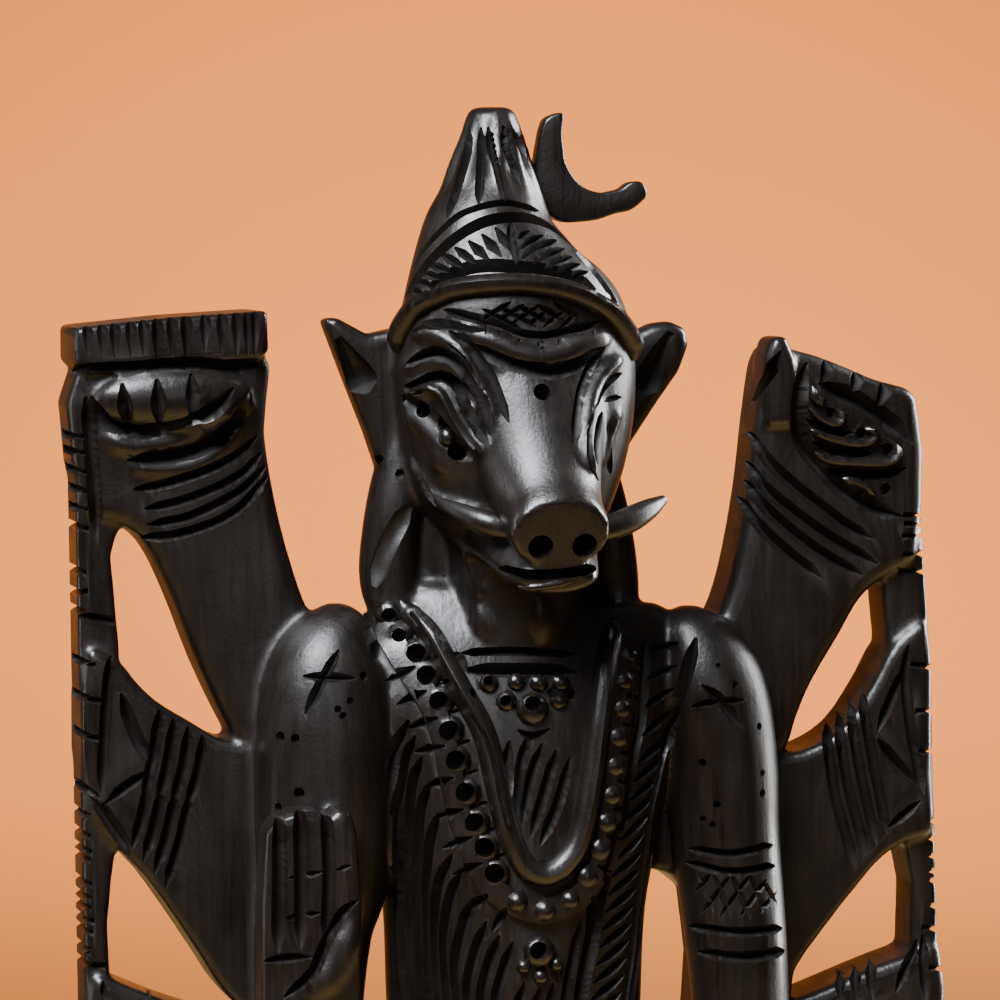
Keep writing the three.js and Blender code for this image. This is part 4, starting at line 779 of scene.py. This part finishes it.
def along_surface(look, line):
    """Where a smooth line meets the surface, as (spot, normal, direction); points beside it are dropped."""
    spacing = 1.2
    points = pairs(line)
    length = sum((Vector(b) - Vector(a)).length for a, b in zip(points, points[1:]))
    steps = max(2, round(length / spacing / (len(points) - 1)))
    hits = [hit for hit in map(look, smooth_path(points, steps)) if hit[0] is not None]
    track = []
    for i, (spot, normal) in enumerate(hits):
        # the facets of the block are evened out over five spots
        near = hits[max(i - 2, 0):i + 3]
        normal = sum((n for s, n in near), Vector()).normalized()
        ahead = hits[min(i + 1, len(hits) - 1)][0] - hits[max(i - 1, 0)][0]
        track.append((spot, normal, ahead.normalized()))
    return track


def run_outs(track, reach, least):
    """For each spot, how much of a tool's size is left: all of it, but less within reach of an end."""
    travelled = [0]
    for (a, n, d), (b, m, e) in zip(track, track[1:]):
        travelled.append(travelled[-1] + (b - a).length)
    return [min(1, least + min(t, travelled[-1] - t) / reach) for t in travelled]


# Tools: each is a form to add or to cut away

V_HEIGHT, V_HALF_WIDTH = 1.5, 0.866  # of a unit circle of three sides, which a V tool is swept from
CUT_RISE = 0.5  # how far a cutter stands out of the surface
CUT_DEEPER = 1.25  # V cuts go this much deeper than their tables say, so that they hold a dark shadow
SAW_FRONT, SAW_SIDE = (1.097, 1), (1.313, 1.3)  # width and depth of the saw cuts in the staves


def v_section(spot, normal, ahead, width, depth):
    """A section of a V tool that is that wide at the surface and that deep under it."""
    side = ahead.cross(normal).normalized()
    half = width / 2 * (depth + CUT_RISE) / depth
    tall = (depth + CUT_RISE) / V_HEIGHT
    middle = spot + normal * (CUT_RISE - tall / 2)
    return frame_of(middle, side * half / V_HALF_WIDTH, -normal * tall, ahead)


def round_section(spot, normal, ahead, width, height):
    """A section of a rounded tool that lies half sunk in the surface."""
    side = ahead.cross(normal).normalized()
    return frame_of(spot, side * width / 2, normal * height, ahead)


def v_cut(track, width, depth):
    """A V cut along the surface that runs out at both ends."""
    shares = run_outs(track, reach=1.6 * width, least=0.2)
    places = [v_section(*at, width * s, CUT_DEEPER * depth * s) for at, s in zip(track, shares)]
    return sweep(places, sides=3)[0]


def rod(track, width, height):
    """A rounded rod: a ridge where it is added, a trough where it is cut away."""
    shares = run_outs(track, reach=width, least=0.35)
    places = [round_section(*at, width * s, height * s) for at, s in zip(track, shares)]
    return sweep(places, sides=12)[0]


def gouge(track, width, depth):
    """A trough that starts narrow and shallow and ends wide, deep and round."""
    starts_at, round_from, ends_at = 0.25, 0.8, 0.2
    places = []
    for i, at in enumerate(track):
        way = i / (len(track) - 1)
        round_off = max(0, way - round_from) / (1 - round_from)
        share = starts_at + (1 - starts_at) * min(1, way / round_from)
        share *= math.sqrt(1 - (1 - ends_at**2) * round_off**2)
        places.append(round_section(*at, width * share, depth * share))
    return sweep(places, sides=14)[0]


def flat_band(track, width, height):
    """A low band with a nearly flat top along the surface."""
    squareness = 0.7
    places = [round_section(*at, width, height) for at in track]
    form, rings = sweep(places, sides=16)
    for ring, place in zip(rings, places):
        back = place.inverted()
        for v in ring:
            flat = back @ v.co
            bulge = max(abs(flat.x), abs(flat.y)) / flat.xy.length
            v.co = place @ Vector((flat.x / bulge**squareness, flat.y / bulge**squareness, 0))
    return form


def bead(look, place, radius, height):
    """A round bead that sits on the surface."""
    spot, normal = look(place)
    return ball(spot, (radius, radius, height), turned_to(normal), detail=2)


def drill(look, place, radius, depth):
    """A drill bit, square to the surface and tapered to three quarters."""
    spot, normal = look(place)
    form = bmesh.new()
    middle = Matrix.Translation(spot + normal * (CUT_RISE - depth) / 2)
    bmesh.ops.create_cone(
        form, segments=20, cap_ends=True, radius1=radius * 0.75, radius2=radius, depth=depth + CUT_RISE,
        matrix=middle @ turned_to(normal),
    )
    return form


def slit(look, ends, width, depth):
    """A knife cut that starts as a point at the first end and runs out, full size, past the second."""
    (x, z), (far_x, far_z) = pairs(ends)
    start = look((x, z))[0]
    way = Vector((far_x - x, 0, far_z - z))
    places = [
        v_section(start + way * share, FORWARDS, way.normalized(), width * size, depth * size)
        for share, size in ((0, 0.15), (0.45, 0.85), (1, 1))
    ]
    return sweep(places, sides=3)[0]


def saw(start, finish, facing, width, depth):
    """A straight V cut in a face that looks along facing."""
    ahead = (finish - start).normalized()
    return sweep([v_section(spot, facing, ahead, width, depth) for spot in (start, finish)], sides=3)[0]


def notch(surface, ends):
    """A saw cut across the front of a stave that goes on over its outer side."""
    inner, outer = sorted(pairs(ends), key=lambda p: abs(p[0]))
    outwards = Vector((math.copysign(1, outer[0]), 0, 0))
    start = surface.seen(inner)[0]
    finish = start + Vector((outer[0] - inner[0], 0, outer[1] - inner[1]))
    # the outer side runs through the spots 2 and 5 mm behind the front; the saw goes past both its ends
    corner, back = (surface.beside(outwards, start.y + into, finish.z) for into in (2, 5))
    backwards = (back - corner).normalized()
    return [
        saw(start, finish + 2 * outwards, FORWARDS, *SAW_FRONT),
        saw(corner - 3 * backwards, back + 4 * backwards, outwards, *SAW_SIDE),
    ]


def fan(first, last, count):
    """Lines that fan from the first to the last."""
    for i in range(count):
        share = i / (count - 1)
        yield [a + (b - a) * share for a, b in zip(first, last)]


# The block before the fine carving

def strokes(tool, look, table):
    """That tool, drawn along each line of a table."""
    return [tool(along_surface(look, line), width, depth) for line, width, depth in table]


VOXEL = 0.55  # fine enough for the fingers
RASP_STROKES = 4  # passes of smoothing, which take off the steps between the forms
FACES_KEPT = 0.175  # share left for the crisp cuts to be made in

block = joined([
    # skirt, body and head
    loft(SKIRT, 144, flutes=18),
    loft(SKIRT_PANEL, 24),
    loft(BELT, 64),
    loft(TORSO, 64),
    loft(NECK, 48),
    loft(HEAD, 96, flutes=13),
    loft(FACE, 48),
    loft(JAW, 40),
    loft(HAIR_BEHIND, 40),
    loft(HAIR_LEFT, 24),
    loft(HAIR_RIGHT, 24),
    # the arms and feet that are round
    loft(RAISED_UPPER_ARM, 40),
    loft(RAISED_FOREARM, 40),
    loft(HANGING_ARM, 40),
    loft(FOOT, 32),
    loft(mirrored(FOOT), 32),
    loft(LOTUS_BASE, 160, steps=3, flutes=16, caps_flat=True),
    # hands, ears, and the arms behind with their staves, all flat
    board(RAISED_HAND, -16.4, 7.2, 1.6),
    board(HANGING_HAND, -7.6, 7, 2),
    board(LEFT_EAR, 1.5, 6, 1.8),
    board(RIGHT_EAR, 1.5, 6, 1.8),
    board(CAP, 6, 16, 1),
    board(RIGHT_THUMB, 2.8, 8.3, 1.2),
    board(LEFT_STAVE, 6, 9, 0.8),
    board(RIGHT_STAVE, 6, 9, 0.8),
    *(board(arm, 6, 12, 2.8, steps=3) for arm in LEFT_ARMS + RIGHT_ARMS),
    # the swelling under the cap of the upper left hand
    ball((-49.4, -0.2, 279.4), (11.6, 4, 4.6)),
    # hair that fills in behind the jaw
    ball((-11.5, 3.5, 256), (4.6, 5, 11)),
])
seen = Surface(block).seen
block = joined([block, *strokes(rod, seen, SWELLS)])
idol = thing("idol_carved", block)
fused = idol.modifiers.new("block", "REMESH")
fused.mode = "VOXEL"
fused.voxel_size = VOXEL
smooth = idol.modifiers.new("rasp", "SMOOTH")
smooth.factor = 0.5
smooth.iterations = RASP_STROKES
fewer = idol.modifiers.new("plane", "DECIMATE")
fewer.ratio = FACES_KEPT
settle(idol)

# The crisp work

def carve(made, operation, tools):
    """Joins or cuts all the tools at once."""
    shop = bpy.data.collections.new("tools")
    for form in tools:
        thing("tool", joined([form]), shop)
    step = made.modifiers.new("carve", "BOOLEAN")
    step.operation = operation
    step.solver = "MANIFOLD"
    step.operand_type = "COLLECTION"
    step.collection = shop
    settle(made)
    for tool in list(shop.objects):
        bpy.data.meshes.remove(tool.data)
    bpy.data.collections.remove(shop)


def fans(look, table):
    """V cuts along the lines of each fan of a table."""
    return [
        v_cut(along_surface(look, line), width, depth)
        for first, last, count, width, depth in table for line in fan(first, last, count)
    ]


seen = surface_of(idol).seen
carve(idol, "DIFFERENCE", [*strokes(rod, seen, TROUGHS), *strokes(gouge, seen, GOUGES)])

seen = surface_of(idol).seen
carve(idol, "UNION", [
    *strokes(rod, seen, RIDGES),
    *(bead(seen, place, radius, height) for place, radius, height in BEADS),
    flat_band(along_surface(seen, GARLAND), 3.8, 1.2),
])

surface = surface_of(idol)
seen = surface.seen
carve(idol, "DIFFERENCE", [
    *strokes(v_cut, seen, CUTS),
    *fans(seen, FANS),
    *(slit(seen, ends, width, depth) for ends, width, depth in SLITS),
    *fans(surface.seen_behind, FANS_BEHIND),
    *(cut for ends in NOTCHES for cut in notch(surface, ends)),
    *(drill(seen, place, radius, depth) for place, radius, depth in HOLES),
])

# Materials

def shade(code):
    """A colour written as sRGB hex, as the shader wants it."""
    parts = [int(code[i:i + 2], 16) / 255 for i in (1, 3, 5)]
    return tuple(c / 12.92 if c <= 0.04045 else ((c + 0.055) / 1.055) ** 2.4 for c in parts) + (1,)


def node(material, kind, settings=None, sources=(), **links):
    """Adds a node: settings for its fields and sockets, sources for its inputs in order, links by name."""
    made = material.node_tree.nodes.new(kind)
    for name, value in (settings or {}).items():
        if name in made.inputs:
            made.inputs[name].default_value = value
        else:
            setattr(made, name, value)
    joins = list(zip(made.inputs, sources))
    joins += [(made.inputs[name.replace("_", " ")], source) for name, source in links.items()]
    for socket, source in joins:
        material.node_tree.links.new(source, socket)
    return made


def noise(material, place, scale, detail, roughness):
    settings = {"Scale": scale, "Detail": detail, "Roughness": roughness}
    return node(material, "ShaderNodeTexNoise", settings, Vector=place).outputs["Fac"]


def spread_over(material, value, from_min, from_max, to_min, to_max):
    """What that value comes to when one range is laid over another."""
    ranges = {"From Min": from_min, "From Max": from_max, "To Min": to_min, "To Max": to_max}
    return node(material, "ShaderNodeMapRange", ranges, Value=value).outputs["Result"]


def polished_ebony():
    """Ebony, carved by hand and rubbed with oil: near black and faintly brown along the grain, with a
    soft sheen that the marks of rubbing break up."""
    wood = bpy.data.materials.new("oiled_ebony")
    wood.use_nodes = True
    wood.node_tree.nodes.clear()
    place = node(wood, "ShaderNodeTexCoord").outputs["Object"]
    # grain about 1 mm wide and 15 mm long, up the block
    along = node(wood, "ShaderNodeMapping", {"Scale": (900, 900, 65)}, Vector=place)
    grain = noise(wood, along.outputs["Vector"], 1, 5, 0.6)
    tone = node(wood, "ShaderNodeValToRGB", Fac=grain)
    for stop, (position, code) in zip(tone.color_ramp.elements, ((0.35, "#080605"), (0.7, "#15100d"))):
        stop.position = position
        stop.color = shade(code)
    # marks of sandpaper and rag, about 0.6 mm, and patches of oil about 1 cm wide
    rubbed = noise(wood, place, 1600, 3, 0.65)
    patches = noise(wood, place, 90, 4, 0.55)
    gloss = spread_over(wood, patches, 0.3, 0.7, 0.3, 0.44)
    # the bottoms of the cuts stay rough, and the crests are rubbed smoother
    sharpness = node(wood, "ShaderNodeNewGeometry").outputs["Pointiness"]
    raw = spread_over(wood, sharpness, 0.5, 0.42, 0, 0.4)
    worn = spread_over(wood, sharpness, 0.51, 0.58, 0, 0.12)
    rougher = node(wood, "ShaderNodeMath", {"operation": "ADD"}, (gloss, raw))
    roughness = node(
        wood, "ShaderNodeMath", {"operation": "SUBTRACT"}, (rougher.outputs["Value"], worn),
    )
    marks = node(wood, "ShaderNodeBump", {"Strength": 0.35, "Distance": 0.00012}, Height=rubbed)
    pores = node(
        wood, "ShaderNodeBump", {"Strength": 0.3, "Distance": 0.0002},
        Height=grain, Normal=marks.outputs["Normal"],
    )
    bsdf = node(
        wood, "ShaderNodeBsdfPrincipled", {"IOR": 1.52, "Specular IOR Level": 0.32},
        Base_Color=tone.outputs["Color"], Roughness=roughness.outputs["Value"],
        Normal=pores.outputs["Normal"],
    )
    node(wood, "ShaderNodeOutputMaterial", Surface=bsdf.outputs["BSDF"])
    return wood


def matt_paper():
    """Warm paper for the studio."""
    paper = bpy.data.materials.new("paper")
    paper.use_nodes = True
    shader = paper.node_tree.nodes["Principled BSDF"]
    shader.inputs["Base Color"].default_value = shade("#d8ad6a")
    shader.inputs["Roughness"].default_value = 0.9
    return paper


# The pieces

CREASE = math.radians(34)  # edges that turn more than this stay crisp
ebony = polished_ebony()


def finish(made, slot, *nodes):
    """Gives a piece its size in metres, its shading, wood and place in the frame."""
    made.data.transform(Matrix.Scale(MM, 4))
    made.data.shade_smooth()
    made.data.set_sharp_from_angle(angle=CREASE)
    made.data.materials.clear()
    made.data.materials.append(ebony)
    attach(made, "root")
    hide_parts(*nodes)


finish(idol, "ebony", "idol")
pegs = {
    "crescent": board(CRESCENT, -0.6, 3.4, 0.9, steps=3),
    "tusk_right": loft(RIGHT_TUSK, 24),
    "tusk_left": loft(LEFT_TUSK, 24),
}
for name, form in pegs.items():
    finish(thing(name + "_peg", joined([form])), "ebony_peg", name)

# The studio, in metres

view = bpy.data.cameras.new("camera")
view.lens = SENSOR * DISTANCE / WIDTH_IN_VIEW
view.sensor_width = SENSOR
view.clip_end = 50
camera = bpy.data.objects.new("camera", view)
level = Vector((0, 0, 1)).cross(BACKWARD).normalized()
upright = BACKWARD.cross(level)
across = level * math.cos(ROLL) + upright * math.sin(ROLL)
camera.matrix_world = frame_of(EYE * MM, across, BACKWARD.cross(across), BACKWARD)
bpy.context.scene.collection.objects.link(camera)
bpy.context.scene.camera = camera


def paper_sweep():
    """A warm paper sweep: floor, curve and back wall in one sheet."""
    form = bmesh.new()
    left, width, front, wall, height, bend, bend_steps = -4, 8, -3, 2.1, 2.2, 0.5, 12
    profile = [(front, 0)]
    for k in range(bend_steps + 1):
        angle = math.pi / 2 * k / bend_steps
        profile.append((wall - bend + bend * math.sin(angle), bend - bend * math.cos(angle)))
    profile.append((wall, height))
    verts = [form.verts.new((left, y, z)) for y, z in profile]
    edges = [form.edges.new(pair) for pair in zip(verts, verts[1:])]
    grown = bmesh.ops.extrude_edge_only(form, edges=edges)
    bmesh.ops.translate(form, verts=moved_verts(grown), vec=(width, 0, 0))
    bmesh.ops.recalc_face_normals(form, faces=form.faces)
    made = thing("sweep", form)
    made.data.shade_smooth()
    made.data.materials.append(matt_paper())
    return made


def softbox(name, place, aim, size, power, code, spread):
    lamp = bpy.data.lights.new(name, "AREA")
    lamp.shape = "RECTANGLE"
    lamp.size, lamp.size_y = size
    lamp.energy = power
    lamp.color = shade(code)[:3]
    lamp.spread = math.radians(spread)
    made = bpy.data.objects.new(name, lamp)
    made.location = place
    made.rotation_euler = (Vector(aim) - Vector(place)).to_track_quat("-Z", "Y").to_euler()
    bpy.context.scene.collection.objects.link(made)


paper_sweep()
FIGURE = (0, 0, 0.24)  # where the lamps aim
softbox("key_from_above", (-0.36, -0.36, 0.92), FIGURE, (0.5, 0.5), 7, "#f4f8ff", 60)
softbox("front_fill", (0.1, -1.2, 0.55), FIGURE, (0.5, 0.5), 0.12, "#f4f8ff", 45)
softbox("right_edge", (0.7, 0.2, 0.4), FIGURE, (0.12, 0.7), 4, "#ffffff", 70)
softbox("left_edge", (-0.75, 0.25, 0.4), FIGURE, (0.12, 0.7), 0.4, "#ffffff", 70)
softbox("backdrop", (0.62, 0.8, 1.5), (0.5, 1.9, 0), (1, 0.5), 17.4, "#ffba84", 76)
world = bpy.data.worlds.new("room")
world.use_nodes = True
world.node_tree.nodes["Background"].inputs["Color"].default_value = shade("#ead6c6")
world.node_tree.nodes["Background"].inputs["Strength"].default_value = 0.05
bpy.context.scene.world = world
